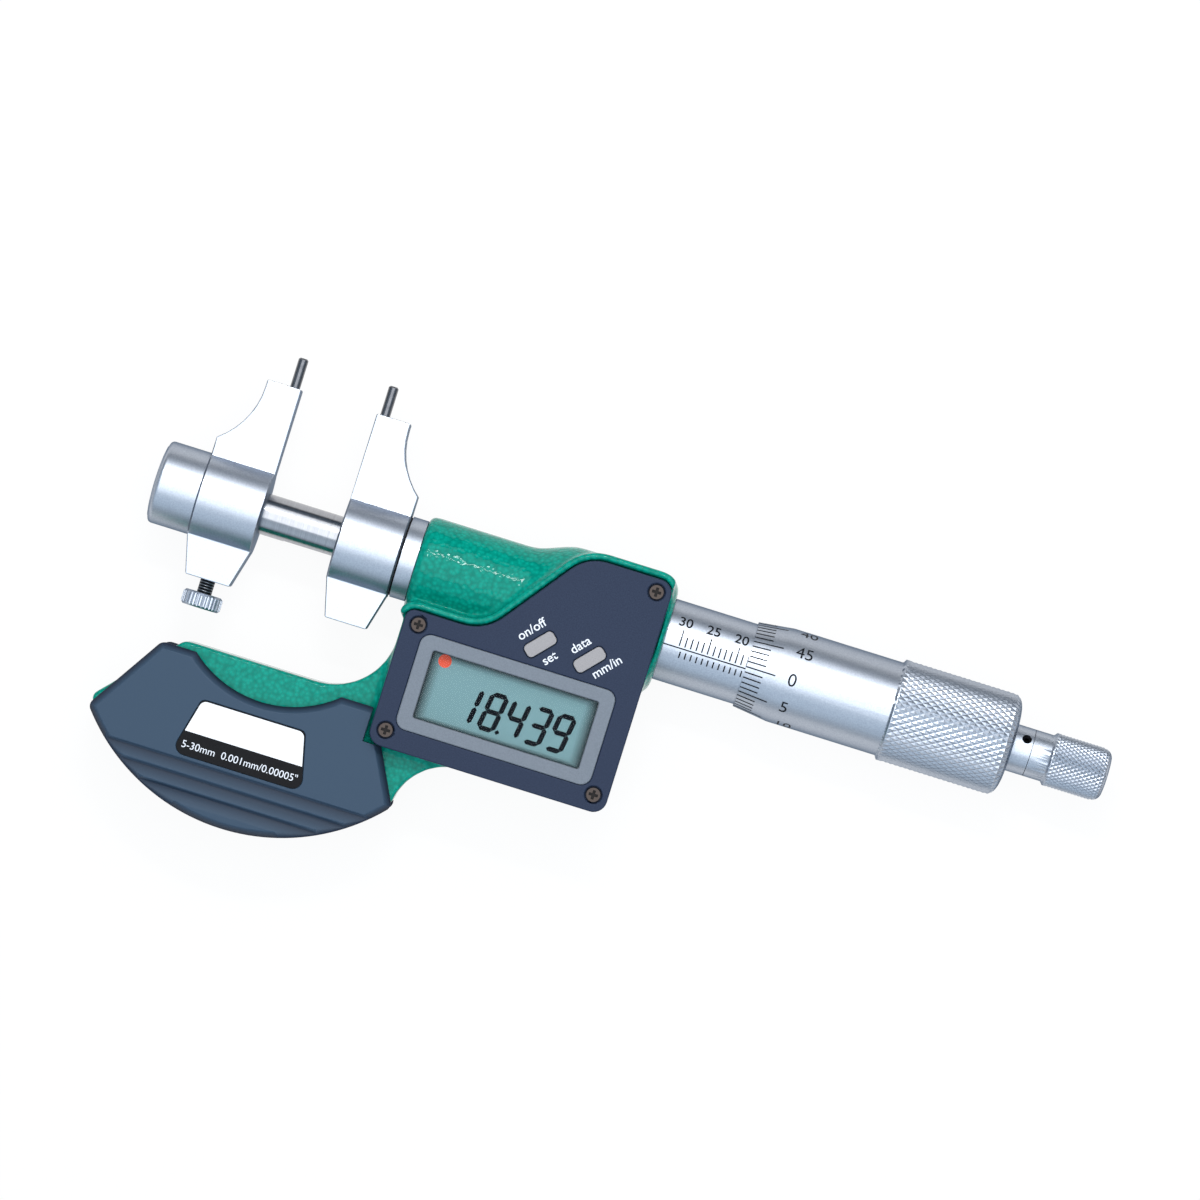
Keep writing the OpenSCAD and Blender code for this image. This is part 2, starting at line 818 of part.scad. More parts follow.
module fixed_jaw() {
  color(satin)
    difference() {
      translate([fixed_jaw_x0, 0, 0])
        jaw_blank(fixed_jaw_len);
      rod_between(fixed_jaw_x0 - over, fixed_jaw_x1 + over, nose_d / 2 + seat_gap);
      pillar(fixed_pin_x, arm_rise - pin_seat, arm_rise + over, pin_r + seat_gap);
      pillar(key_x, -lug_drop - over, 0, key_r + seat_gap);
    }
}

module moving_jaw() {
  color(satin)
    difference() {
      translate([moving_jaw_x1, 0, 0])
        mirror([1, 0, 0])
          jaw_blank(moving_jaw_len);
      rod_between(moving_jaw_x0 - over, moving_jaw_x1 + over, rod_r + seat_gap);
      pillar(moving_pin_x, arm_rise - pin_seat, arm_rise + over, pin_r + seat_gap);
      pillar(lock_x, -lug_drop - over, 0, stud_d / 2 + run_gap);
    }
}

// Measuring pin with a lightly crowned tip
pin_crown = 0.25;
module measuring_pin(x) {
  color(bright)
    translate([x, arm_rise - pin_seat + seat_gap, axis_z])
      rotate([-90, 0, 0])
        rotate_extrude()
          polygon([
            [0, 0],
            [pin_r, 0],
            [pin_r, pin_seat + pin_len - pin_crown],
            [pin_r - pin_crown, pin_seat + pin_len],
            [0, pin_seat + pin_len]
          ]);
}
module fixed_pin() measuring_pin(fixed_pin_x);
module moving_pin() measuring_pin(moving_pin_x);

gasket_inset = 0.25;
module jaw_gasket() {
  color(black)
    tube_between(fixed_jaw_x1, collar_x0, collar_d / 2 - gasket_inset, nose_d / 2 + seat_gap);
}

// Key screw in the fixed jaw's lug, with its tip in the rod's keyway
key_r = keyway_w / 2 - run_gap;
key_tip_gap = 0.15;
key_sink = 0.3;
module guide_key() {
  color(bright)
    difference() {
      pillar(key_x, -lug_drop + key_sink, -rod_r + keyway_depth - key_tip_gap, key_r);
      translate([key_x, -lug_drop + key_sink, axis_z])
        cube([cross_w, 2 * cross_depth, 2 * key_r + over], center = true);
    }
}

// End cap with a crowned face and a cavity for the spindle's end nut
cap_corner = 0.8;
cavity_depth = 4.8;
cavity_r = 5.4;
crown_steps = 5;
module jaw_cap() {
  cap_r = cap_d / 2;
  crown_r = cap_r - cap_corner;
  color(satin)
    turned(concat(
      [[cavity_r, moving_jaw_x0 - cavity_depth], [cavity_r, moving_jaw_x0], [cap_r, moving_jaw_x0]],
      [
        for (i = [0:arc_steps])
          let(a = 90 * i / arc_steps)
            [crown_r + cap_corner * cos(a), moving_jaw_x0 - cap_len + cap_corner * (1 - sin(a))]
      ],
      [
        for (i = [1:crown_steps])
          let(a = 90 * i / crown_steps)
            [crown_r * cos(a), moving_jaw_x0 - cap_len - cap_crown * sin(a)]
      ],
      [[0, moving_jaw_x0 - cavity_depth]]
    ));
}

// Sliding rod with a keyway below and a cross hole for the lock pad
pad_r = 1;
keyway_end_gap = 0.6;
module jaw_rod() {
  keyway_x0 = key_x - travel_in - key_r - keyway_end_gap;
  color(bright)
    difference() {
      tube_between(moving_jaw_x0, rod_x1, rod_r, journal_r + run_gap);
      translate([keyway_x0, -rod_r - over, axis_z - keyway_w / 2])
        cube([big, keyway_depth + over, keyway_w]);
      pillar(lock_x, -rod_r - over, 0, pad_r + run_gap);
    }
}

washer_t = 0.4;
washer_r = 4.6;
module thrust_washer() {
  color(brass)
    tube_between(moving_jaw_x0 - washer_t, moving_jaw_x0, washer_r, journal_r + run_gap);
}

end_nut_len = 3;
end_nut_r = 4.2;
end_nut_x1 = moving_jaw_x0 - washer_t - thrust_gap;
end_nut_x0 = end_nut_x1 - end_nut_len;
module spindle_end_nut() {
  color(bright)
    tube_between(end_nut_x0, end_nut_x1, end_nut_r, journal_r + seat_gap);
}

// Spindle: journal in the rod, keyed shaft, screw, taper and threaded tail
journal_end = 0.5;
taper_len = 4.5;
taper_r = 2.5;
tail_r = 1.8;
tail_len = 2.2;
thread_chamfer = 0.5;
spindle_tail_x1 = thimble_x1 + tail_len;
groove_end_gap = 1;
module spindle() {
  screw_x0 = nut_x0 - travel_in;
  screw_x1 = stem_x1 + travel_out;
  shoulder_x = rod_x1 + thrust_gap;
  key_x0 = rotor_x0 - travel_in - groove_end_gap;
  key_x1 = rotor_x0 + rotor_t + travel_out + groove_end_gap;
  color(bright)
    difference() {
      turned([
        [0, end_nut_x0 - journal_end],
        [journal_r, end_nut_x0 - journal_end],
        [journal_r, shoulder_x],
        [spindle_r, shoulder_x],
        [spindle_r, screw_x0],
        [screw_r, screw_x0 + thread_chamfer],
        [screw_r, screw_x1],
        [spindle_r, screw_x1 + thread_chamfer],
        [spindle_r, thimble_end_x],
        [taper_r, thimble_end_x + taper_len],
        [taper_r, thimble_x1 - seat_gap],
        [tail_r, thimble_x1 - seat_gap],
        [tail_r, spindle_tail_x1],
        [0, spindle_tail_x1]
      ]);
      translate([key_x0, -rotor_key_w / 2 - run_gap, axis_z + spindle_r - rotor_key_h - run_gap])
        cube([key_x1 - key_x0, rotor_key_w + 2 * run_gap, big]);
    }
}

// Inner sleeve with the slit spindle nut at its rear end
nut_relief = 0.5;
nut_nose_len = 4;
nut_nose_step = 1;
nut_nose_r = stem_r - nut_nose_step;
slit_w = 0.6;
slits = 3;
module inner_sleeve() {
  color(bright)
    difference() {
      turned([
        [screw_r + nut_relief, stem_x0],
        [stem_r, stem_x0],
        [stem_r, stem_x1 - nut_nose_len],
        [nut_nose_r, stem_x1 - nut_nose_len],
        [nut_nose_r, stem_x1],
        [screw_r + run_gap, stem_x1],
        [screw_r + run_gap, nut_x0],
        [screw_r + nut_relief, nut_x0]
      ]);
      for (i = [0:slits - 1])
        translate([nut_x0, 0, axis_z])
          rotate([360 * i / slits, 0, 0])
            translate([0, -slit_w / 2, screw_r - over])
              cube([big, slit_w, nut_nose_r]);
    }
}

notch_w = 1.2;
notch_depth = 1;
module adjusting_nut() {
  color(bright)
    difference() {
      tube_between(stem_x1 - nut_nose_len + seat_gap, stem_x1, stem_r, nut_nose_r + seat_gap);
      translate([stem_x1, 0, axis_z])
        cube([2 * notch_depth, notch_w, big], center = true);
    }
}

module scale_sleeve() {
  color(satin)
    tube_between(boss_x1 + seat_gap, boss_x1 + sleeve_len, sleeve_r, stem_r + seat_gap);
}

stator_room = 1;
stator_hole_r = spindle_r + stator_room;
module encoder_stator() {
  color(board_green)
    tube_between(stator_x0, stem_x0 - seat_gap, stem_r, stator_hole_r);
}

// Encoder disc, keyed to the spindle
module encoder_rotor() {
  bore_r = spindle_r + run_gap;
  color(board_green) {
    tube_between(rotor_x0, rotor_x0 + rotor_t, rotor_r, bore_r);
    translate([rotor_x0, -rotor_key_w / 2, axis_z + spindle_r - rotor_key_h])
      cube([rotor_t, rotor_key_w, rotor_key_h + over]);
  }
}

// Thimble: sharp graduated edge, bevel, plain drum and knurled grip with a rounded end
knurl_step = 0.4;
knurl_round_x = 1.8;
knurl_round_r = 3.2;
thimble_bore_r = sleeve_r + run_gap;
module thimble() {
  knurl_r = knurl_d / 2;
  knurl_x0 = thimble_x1 - knurl_len;
  color(satin)
    turned(concat(
      [
        [thimble_bore_r, thimble_x0],
        [thimble_bore_r, thimble_end_x],
        [spindle_r + seat_gap, thimble_end_x],
        [taper_r + seat_gap, thimble_end_x + taper_len],
        [taper_r + seat_gap, thimble_x1]
      ],
      [
        for (i = [0:arc_steps])
          let(a = 90 * i / arc_steps)
            [
              knurl_r - knurl_round_r * (1 - sin(a)),
              thimble_x1 - knurl_round_x * (1 - cos(a))
            ]
      ],
      [
        [knurl_r, knurl_x0 + knurl_step],
        [thimble_d / 2, knurl_x0],
        [thimble_d / 2, thimble_x0 + thimble_bevel],
        [thimble_edge_d / 2, thimble_x0]
      ]
    ));
}

// Ratchet base on the spindle's tail, with an axle for the knob
axle_r = axle_d / 2;
axle_len = 7.6;
ratchet_screw_r = 0.9;
ratchet_screw_len = 4;
ratchet_head_r = 2.8;
ratchet_head_h = 1.2;
axle_x1 = base_x1 + axle_len;
grub_in = 2.1;
grub_x = thimble_x1 + grub_in;
grub_reach = tail_r + thrust_gap;
grub_sink = 0.5;
grub_socket_d = 0.9;
module along_grub() {
  translate([grub_x, 0, axis_z])
    rotate([-grub_angle, 0, 0])
      children();
}
module ratchet_base() {
  color(satin)
    difference() {
      turned([
        [0, thimble_x1],
        [neck_d / 2, thimble_x1],
        [neck_d / 2, base_x1],
        [axle_r, base_x1],
        [axle_r, axle_x1],
        [0, axle_x1]
      ]);
      rod_between(thimble_x1 - over, spindle_tail_x1 + seat_gap, tail_r + seat_gap);
      rod_between(axle_x1 - ratchet_screw_len - seat_gap, axle_x1 + over, ratchet_screw_r + seat_gap);
      along_grub()
        cylinder(h = neck_d, r = grub_d / 2);
    }
}

module ratchet_grub_screw() {
  color(black)
    along_grub()
      difference() {
        translate([0, 0, grub_reach])
          cylinder(h = neck_d / 2 - grub_sink - grub_reach, r = grub_d / 2 - seat_gap);
        translate([0, 0, neck_d / 2 - 2 * grub_sink])
          cylinder(h = neck_d, r = grub_socket_d / 2, $fn = 6);
      }
}

module ratchet_screw() {
  color(bright)
    difference() {
      turned([
        [0, axle_x1 - ratchet_screw_len],
        [ratchet_screw_r, axle_x1 - ratchet_screw_len],
        [ratchet_screw_r, axle_x1],
        [ratchet_head_r, axle_x1],
        [ratchet_head_r, axle_x1 + ratchet_head_h],
        [0, axle_x1 + ratchet_head_h]
      ]);
      translate([axle_x1 + ratchet_head_h, 0, axis_z])
        cube([2 * cross_depth, big, cross_w], center = true);
    }
}

// Ratchet knob: plain neck, knurled grip with a rounded end, and a bore for the spring
knob_step = 0.5;
knob_round_x = 2;
knob_round_r = 1.5;
knob_shoulder = 3;
spring_well_r = 3.25;
plug_seat_len = 3;
knob_rim_r = knob_d / 2 - knob_round_r;
plug_edge = 0.1;
plug_seat_r = knob_rim_r - plug_edge;
module ratchet_knob() {
  color(satin)
    turned(concat(
      [
        [axle_r + run_gap, knob_x0],
        [neck_d / 2, knob_x0],
        [neck_d / 2, knob_grip_x0],
        [knob_d / 2, knob_grip_x0 + knob_step]
      ],
      [
        for (i = [0:arc_steps])
          let(a = 90 * i / arc_steps)
            [
              knob_rim_r + knob_round_r * cos(a),
              knob_x1 - knob_round_x * (1 - sin(a))
            ]
      ],
      [
        [plug_seat_r, knob_x1],
        [plug_seat_r, knob_x1 - plug_seat_len],
        [spring_well_r, knob_x1 - plug_seat_len],
        [spring_well_r, knob_x0 + knob_shoulder],
        [axle_r + run_gap, knob_x0 + knob_shoulder]
      ]
    ));
}

// Domed plug that closes the knob
plug_crown = 0.3;
plug_t = 2;
module ratchet_plug() {
  r = plug_seat_r - seat_gap;
  color(satin)
    turned(concat(
      [[0, knob_x1 - plug_t], [r, knob_x1 - plug_t], [r, knob_x1 - plug_crown]],
      [for (i = [1:crown_steps]) let(a = 90 * i / crown_steps) [r * cos(a), knob_x1 - plug_crown * (1 - sin(a))]]
    ));
}

spring_wire_d = 0.45;
spring_turns = 5;
module ratchet_spring() {
  color(bright)
    translate([knob_x0 + knob_shoulder + seat_gap, 0, axis_z])
      rotate([0, 90, 0])
        coil(
          (axle_r + spring_well_r) / 2,
          spring_wire_d,
          axle_x1 - knob_x0 - knob_shoulder - thrust_gap,
          spring_turns
        );
}

// Lock screw: fluted head on a black stud that pushes a brass pad against the spindle
pad_stand = 2.2;
stud_tip_y = -rod_r - pad_stand;
pad_gap = 0.3;
lock_head_y1 = -lug_drop - lock_gap;
lock_head_y0 = lock_head_y1 - lock_head_h;
flute_r = 0.3;
lock_chamfer = 0.4;
stud_seat = 1.6;
module lock_pad() {
  color(brass)
    pillar(lock_x, stud_tip_y + seat_gap, -journal_r - pad_gap, pad_r);
}

module lock_stud() {
  color(black)
    pillar(lock_x, lock_head_y1 - stud_seat + seat_gap, stud_tip_y, stud_d / 2);
}

module lock_head() {
  r = lock_head_d / 2;
  color(satin)
    translate([lock_x, lock_head_y0, axis_z])
      rotate([-90, 0, 0])
        difference() {
          rotate_extrude()
            polygon([
              [0, 0],
              [r - lock_chamfer, 0],
              [r, lock_chamfer],
              [r, lock_head_h - lock_chamfer],
              [r - lock_chamfer, lock_head_h],
              [0, lock_head_h]
            ]);
          translate([0, 0, lock_head_h - stud_seat])
            cylinder(h = lock_head_h, r = stud_d / 2 + seat_gap);
          for (i = [0:flutes - 1])
            rotate(360 * i / flutes)
              translate([r + flute_r / 3, 0, -over])
                cylinder(h = lock_head_h + 2 * over, r = flute_r, $fn = 8);
        }
}

// Front cover with openings for the bezel, the buttons and the screws
bezel_corner = 1.9;
module bezel_2d(grow = 0) {
  translate([0, -bezel_drop])
    polygon(rounded(rectangle(bezel_w + 2 * grow, bezel_h + 2 * grow, bezel_corner + grow)));
}
module front_cover() {
  color(navy)
    difference() {
      translate([0, 0, seat_z])
        linear_extrude(cover_t)
          polygon(cover_points);
      translate([0, 0, seat_z - over])
        linear_extrude(big)
          bezel_2d(seat_gap);
      for (p = button_places)
        translate([p[0], p[1], seat_z - over])
          linear_extrude(big)
            button_2d(run_gap);
      for (p = screw_places)
        translate([p[0], p[1], 0]) {
          cylinder(h = big, r = screw_shank_d / 2 + run_gap);
          translate([0, 0, housing_t - screw_sink - screw_head_h])
            cylinder(h = big, r = screw_head_d / 2 + screw_well_gap);
        }
    }
}

module cover_screws() {
  color(bronze)
    for (p = screw_places)
      translate([p[0], p[1], housing_t - screw_sink])
        difference() {
          union() {
            translate([0, 0, -screw_head_h])
              cylinder(h = screw_head_h, r = screw_head_d / 2);
            translate([0, 0, screw_sink - screw_len + seat_gap])
              cylinder(h = screw_len - screw_sink - seat_gap, r = screw_shank_d / 2);
          }
          for (a = [0, 90])
            rotate(a)
              cube([cross_len, cross_w, 2 * cross_depth], center = true);
        }
}

// Bezel with a step that holds the window and the display glass
window_lap = 1;
view_corner = 0.4;
module bezel_step_2d(shrink = 0) {
  translate([0, -bezel_drop])
    square([view_w + 2 * window_lap - 2 * shrink, view_h + 2 * window_lap - 2 * shrink], center = true);
}
module display_bezel() {
  color(grey)
    difference() {
      translate([0, 0, seat_z])
        linear_extrude(bezel_z1 - seat_z)
          bezel_2d();
      translate([0, -bezel_drop, 0])
        linear_extrude(big)
          polygon(rounded(rectangle(view_w, view_h, view_corner)));
      linear_extrude(window_z1)
        bezel_step_2d();
    }
}

module display_window() {
  color(clear)
    translate([0, 0, window_z0])
      linear_extrude(window_t)
        bezel_step_2d(seat_gap);
}

module lcd_panel() {
  color(lcd_tint)
    translate([0, 0, lcd_z0])
      linear_extrude(lcd_t)
        bezel_step_2d(run_gap);
}

// Two contact strips between the display glass and the circuit board
strip_w = 1.6;
module lcd_connectors() {
  y = view_h / 2 + window_lap - strip_w / 2 - slip_gap;
  color(black)
    for (side = [-1, 1])
      translate([-view_w / 2, -bezel_drop + side * y - strip_w / 2, board_z1])
        cube([view_w, strip_w, lcd_z0 - board_z1]);
}

module circuit_board() {
  color(board_green)
    translate([0, 0, board_z0])
      linear_extrude(board_t)
        board_2d(board_gap);
}

switch_w = 3;
module tact_switches() {
  color(black)
    for (p = button_places)
      translate([p[0], p[1], board_z1 + switch_h / 2])
        cube([switch_w, switch_w, switch_h], center = true);
}

// Button with a flange under the cover
module button(p) {
  color(button_grey)
    translate([p[0], p[1], button_z0]) {
      linear_extrude(flange_t)
        button_2d(flange_grow);
      linear_extrude(housing_t + button_proud - button_z0)
        button_2d();
    }
}
module power_button() button(button_places[0]);
module data_button() button(button_places[1]);

// Battery pieces
module at_cell() {
  translate([cell_x, -cell_drop, 0])
    children();
}

module battery_holder() {
  color(black)
    at_cell()
      difference() {
        translate([0, 0, floor_t])
          cylinder(h = holder_z1 - floor_t, r = cell_d / 2 + run_gap + holder_wall);
        translate([0, 0, floor_t - over])
          cylinder(h = cell_z1 + run_gap - floor_t + over, r = cell_d / 2 + run_gap);
        cylinder(h = big, r = contact_hole_r);
      }
}

contact_wire_d = 0.4;
contact_turns = 4;
contact_r = 2.4;
module battery_contact() {
  color(brass)
    at_cell()
      translate([0, 0, cell_z1])
        coil(contact_r, contact_wire_d, board_z0 - cell_z1, contact_turns);
}

module button_cell() {
  color(bright)
    at_cell()
      translate([0, 0, cell_z0])
        cylinder(h = cell_h, r = cell_d / 2);
}

module battery_seal() {
  color(black)
    at_cell()
      translate([0, 0, seal_z])
        rotate_extrude()
          translate([seal_r, 0])
            circle(d = seal_d, $fn = 32);
}

// Screw lid with a coin slot
module battery_lid() {
  color(navy)
    at_cell()
      difference() {
        union() {
          translate([0, 0, lid_inset])
            cylinder(h = lid_t, r = lid_d / 2);
          translate([0, 0, lid_inset])
            cylinder(h = lid_t + lid_boss_h, r = lid_boss_r);
        }
        translate([0, 0, lid_inset])
          cube([coin_slot_len, coin_slot_w, 2 * coin_slot_depth], center = true);
      }
}

// Data socket behind the lower wall, and the cover in front of it
module data_socket() {
  color(black)
    port_block(socket_y + seat_gap, socket_y + socket_depth, 0);
}

module data_port_cover() {
  color(navy)
    port_block(body_y0, body_y0 + port_t - seat_gap, port_gap);
}

// Wedge that bevels the upper edge of a grip plate from a to b, with the plate on its left
module bevel_cut(a, b) {
  run = b - a;
  translate([a[0], a[1], grip_t - grip_bevel])
    rotate(atan2(run[1], run[0]))
      rotate([90, 0, 90])
        translate([0, 0, -grip_bevel])
          linear_extrude(norm(run) + 2 * grip_bevel)
            polygon([[-over, -over], [grip_bevel + over, grip_bevel + over], [-over, grip_bevel + over]]);
}

// Grip plate lying on z = 0, with a bevelled edge, a scoop and finger grooves
module grip_plate() {
  side_z = grip_t - grip_bevel;
  count = len(grip_corners);
  difference() {
    intersection() {
      linear_extrude(grip_t)
        polygon(rounded(grip_corners));
      translate([bow_x, bow_y, 0])
        rotate_extrude()
          polygon([
            [0, -over],
            [grip_r, -over],
            [grip_r, side_z],
            [grip_r - grip_bevel - over, grip_t + over],
            [0, grip_t + over]
          ]);
    }
    for (i = grip_bevelled)
      bevel_cut(flat2(grip_corners[i]), flat2(grip_corners[(i + 1) % count]));
    translate([bow_x, scoop_y, 0])
      rotate_extrude()
        polygon([
          [0, -over],
          [scoop_r, -over],
          [scoop_r, side_z],
          [scoop_r + grip_bevel + over, grip_t + over],
          [0, grip_t + over]
        ]);
    for (i = [0:grooves - 1])
      translate([0, -groove_drop - i * groove_pitch, grip_t])
        rotate([90, 0, 90])
          linear_extrude(big, center = true)
            polygon([[-groove_lower_w, groove_depth], [0, -groove_depth], [groove_upper_w, groove_depth]]);
  }
}

module front_grip() {
  color(slate)
    translate([0, 0, bow_z1])
      difference() {
        grip_plate();
        translate([label_x, -label_drop, grip_t - label_t])
          linear_extrude(big)
            offset(delta = label_gap)
              polygon(label_points);
      }
}

module rear_grip() {
  color(slate)
    translate([0, 0, bow_z0])
      mirror([0, 0, 1])
        grip_plate();
}

label_proud = 0.05;
module grip_label() {
  color(white)
    translate([label_x, -label_drop, bow_z1 + grip_t - label_t])
      linear_extrude(label_t + label_proud)
        polygon(label_points);
}

frame();
front_bush();
fixed_jaw();
fixed_pin();
jaw_gasket();
guide_key();
inner_sleeve();
scale_sleeve();
adjusting_nut();
encoder_stator();
front_cover();
cover_screws();
display_bezel();
display_window();
lcd_panel();
lcd_connectors();
circuit_board();
tact_switches();
battery_holder();
battery_contact();
button_cell();
data_socket();
data_port_cover();
front_grip();
rear_grip();
grip_label();
moving_jaw();
moving_pin();
jaw_cap();
jaw_rod();
thrust_washer();
lock_pad();
lock_stud();
lock_head();
spindle();
spindle_end_nut();
thimble();
ratchet_base();
ratchet_grub_screw();
ratchet_screw();
ratchet_knob();
ratchet_spring();
ratchet_plug();
encoder_rotor();
power_button();
data_button();
battery_seal();
battery_lid();
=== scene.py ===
import math

import bpy
from mathutils import Matrix, Vector


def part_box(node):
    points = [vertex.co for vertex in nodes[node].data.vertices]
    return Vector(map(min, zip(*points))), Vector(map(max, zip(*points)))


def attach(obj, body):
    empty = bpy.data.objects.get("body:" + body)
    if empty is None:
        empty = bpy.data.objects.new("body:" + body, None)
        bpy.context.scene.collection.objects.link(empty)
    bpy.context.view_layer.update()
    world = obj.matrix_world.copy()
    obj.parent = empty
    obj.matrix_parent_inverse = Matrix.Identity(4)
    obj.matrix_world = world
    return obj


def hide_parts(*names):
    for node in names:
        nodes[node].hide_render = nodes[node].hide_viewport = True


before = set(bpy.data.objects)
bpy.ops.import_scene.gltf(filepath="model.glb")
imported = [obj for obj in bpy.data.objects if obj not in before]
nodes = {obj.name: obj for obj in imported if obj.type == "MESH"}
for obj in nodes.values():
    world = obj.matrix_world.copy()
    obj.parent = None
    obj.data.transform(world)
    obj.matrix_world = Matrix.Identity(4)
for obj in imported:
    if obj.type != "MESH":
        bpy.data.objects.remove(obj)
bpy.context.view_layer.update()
scene = bpy.context.scene

MM = 0.001
AXIS_Z = 9.5 * MM
COVER_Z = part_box("front_cover")[1].z
LABEL_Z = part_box("grip_label")[1].z
DISPLAY_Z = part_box("lcd_panel")[1].z
INK = 0.02 * MM
WINDOW_LAP = 1.0 * MM
GRAIN_MM = 0.22
BUTTON_TURN = math.radians(48)
CAPITAL_SHARE = 0.69
SCALE_LINE = 0.23 * MM


# Colours and shader nodes


def linear(code):
    """The colour that Blender works in, from an sRGB hex code."""
    parts = [int(code[i : i + 2], 16) / 255 for i in (1, 3, 5)]
    return tuple(c / 12.92 if c <= 0.04045 else ((c + 0.055) / 1.055) ** 2.4 for c in parts) + (1.0,)


def add(tree, kind, values=None, links=None, **settings):
    """A shader node with its values set and its inputs linked."""
    made = tree.nodes.new(kind)
    for key, value in settings.items():
        setattr(made, key, value)
    for key, value in (values or {}).items():
        made.inputs[key].default_value = value
    for key, (source, output) in (links or {}).items():
        tree.links.new(source.outputs[output], made.inputs[key])
    return made


def new_material(name, **values):
    """A material with its shader, the tree it is in and the piece's own coordinates."""
    material = bpy.data.materials.new(name)
    material.use_nodes = True
    tree = material.node_tree
    shader = tree.nodes["Principled BSDF"]
    for key, value in values.items():
        shader.inputs[key.replace("_", " ")].default_value = value
    place = add(tree, "ShaderNodeTexCoord")
    return material, tree, shader, place


def two_tone(tree, shader, source, output, low, high, at_low, at_high):
    """The shader's colour runs from low to high over the source's values."""
    ramp = add(tree, "ShaderNodeValToRGB", links={"Fac": (source, output)})
    ramp.color_ramp.elements[0].position = at_low
    ramp.color_ramp.elements[0].color = linear(low)
    ramp.color_ramp.elements[1].position = at_high
    ramp.color_ramp.elements[1].color = linear(high)
    tree.links.new(ramp.outputs["Color"], shader.inputs["Base Color"])


def relief(tree, shader, source, output, depth_mm, strength):
    """Bump from the source, as deep as depth_mm."""
    bump = add(
        tree,
        "ShaderNodeBump",
        {"Strength": strength, "Distance": depth_mm * MM},
        {"Height": (source, output)},
    )
    tree.links.new(bump.outputs["Normal"], shader.inputs["Normal"])


def per_mm(size):
    """Scale of a pattern whose features are size millimetres across."""
    return 1 / (size * MM)


# Hammered enamel on cast aluminium: a glossy coat drawn into small dimples that break up the highlights
def hammered_enamel():
    material, tree, shader, place = new_material("hammered_enamel", Roughness=0.08, Specular_IOR_Level=0.12)
    cells = add(
        tree,
        "ShaderNodeTexVoronoi",
        {"Scale": per_mm(0.72), "Smoothness": 0.5, "Randomness": 1.0},
        {"Vector": (place, "Object")},
        feature="SMOOTH_F1",
    )
    two_tone(tree, shader, cells, "Distance", "#059682", "#007A69", at_low=0.1, at_high=0.75)
    relief(tree, shader, cells, "Distance", depth_mm=0.09, strength=0.68)
    return material


# Satin chrome on turned steel: a bright, cool metal with a very fine, even grain
def satin_chrome():
    cool_edge = linear("#52677C")
    material, tree, shader, place = new_material(
        "satin_chrome",
        Metallic=1.0,
        Roughness=0.38,
        Specular_Tint=cool_edge,
    )
    grain = add(
        tree,
        "ShaderNodeTexNoise",
        {"Scale": per_mm(0.25), "Detail": 3.0},
        {"Vector": (place, "Object")},
    )
    two_tone(tree, shader, grain, "Fac", "#B5BBC6", "#C4CAD3", at_low=0.35, at_high=0.65)
    relief(tree, shader, grain, "Fac", depth_mm=0.006, strength=0.2)
    return material


# Ground steel: round after round of fine grinding lines about the axis
def ground_steel():
    material, tree, shader, place = new_material("ground_steel", Metallic=1.0, Roughness=0.2)
    along_ring = 0.004
    stretch = add(
        tree,
        "ShaderNodeMapping",
        {"Scale": (1.0, along_ring, along_ring)},
        {"Vector": (place, "Object")},
    )
    lines = add(
        tree,
        "ShaderNodeTexNoise",
        {"Scale": per_mm(0.12), "Detail": 2.0},
        {"Vector": (stretch, "Vector")},
    )
    two_tone(tree, shader, lines, "Fac", "#A3A4A8", "#AEAFB3", at_low=0.35, at_high=0.65)
    relief(tree, shader, lines, "Fac", depth_mm=0.001, strength=0.05)
    return material


# Moulded ABS: a fine spark-eroded grain that takes the shine off
def moulded_plastic(name, dark, pale, roughness):
    material, tree, shader, place = new_material(name, Roughness=roughness, Specular_IOR_Level=0.16)
    grain = add(
        tree,
        "ShaderNodeTexNoise",
        {"Scale": per_mm(GRAIN_MM), "Detail": 2.0},
        {"Vector": (place, "Object")},
    )
    two_tone(tree, shader, grain, "Fac", dark, pale, at_low=0.3, at_high=0.7)
    relief(tree, shader, grain, "Fac", depth_mm=0.02, strength=0.3)
    return material


# Grip plates: grained ABS with painted shade, darker the further below the face it lies, in the grooves and
# down the bevelled edge
def grip_plastic():
    material, tree, shader, place = new_material("grip_abs", Roughness=0.5, Specular_IOR_Level=0.2)
    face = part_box("front_grip")[1].z - AXIS_Z
    shade_depth = 0.95 * MM
    axes = add(tree, "ShaderNodeSeparateXYZ", links={"Vector": (place, "Object")})
    up = add(tree, "ShaderNodeMath", {1: AXIS_Z}, {0: (axes, "Z")}, operation="SUBTRACT")
    away = add(tree, "ShaderNodeMath", links={0: (up, "Value")}, operation="ABSOLUTE")
    level = add(
        tree,
        "ShaderNodeMapRange",
        {"From Min": face - shade_depth, "From Max": face},
        {"Value": (away, "Value")},
    )
    # painted shade: dark down the bevel and in the grooves, full colour only on the face
    two_tone(tree, shader, level, "Result", "#1C2535", "#35485B", at_low=0.0, at_high=0.96)
    grain = add(
        tree,
        "ShaderNodeTexNoise",
        {"Scale": per_mm(GRAIN_MM), "Detail": 2.0},
        {"Vector": (place, "Object")},
    )
    relief(tree, shader, grain, "Fac", depth_mm=0.02, strength=0.3)
    return material


# Metal with a coloured skin: black oxide, bronzing or bare brass, a little uneven
def skinned_metal(name, dark, pale, roughness):
    material, tree, shader, place = new_material(name, Metallic=1.0, Roughness=roughness)
    cloud = add(
        tree,
        "ShaderNodeTexNoise",
        {"Scale": per_mm(0.8), "Detail": 3.0},
        {"Vector": (place, "Object")},
    )
    two_tone(tree, shader, cloud, "Fac", dark, pale, at_low=0.3, at_high=0.7)
    return material
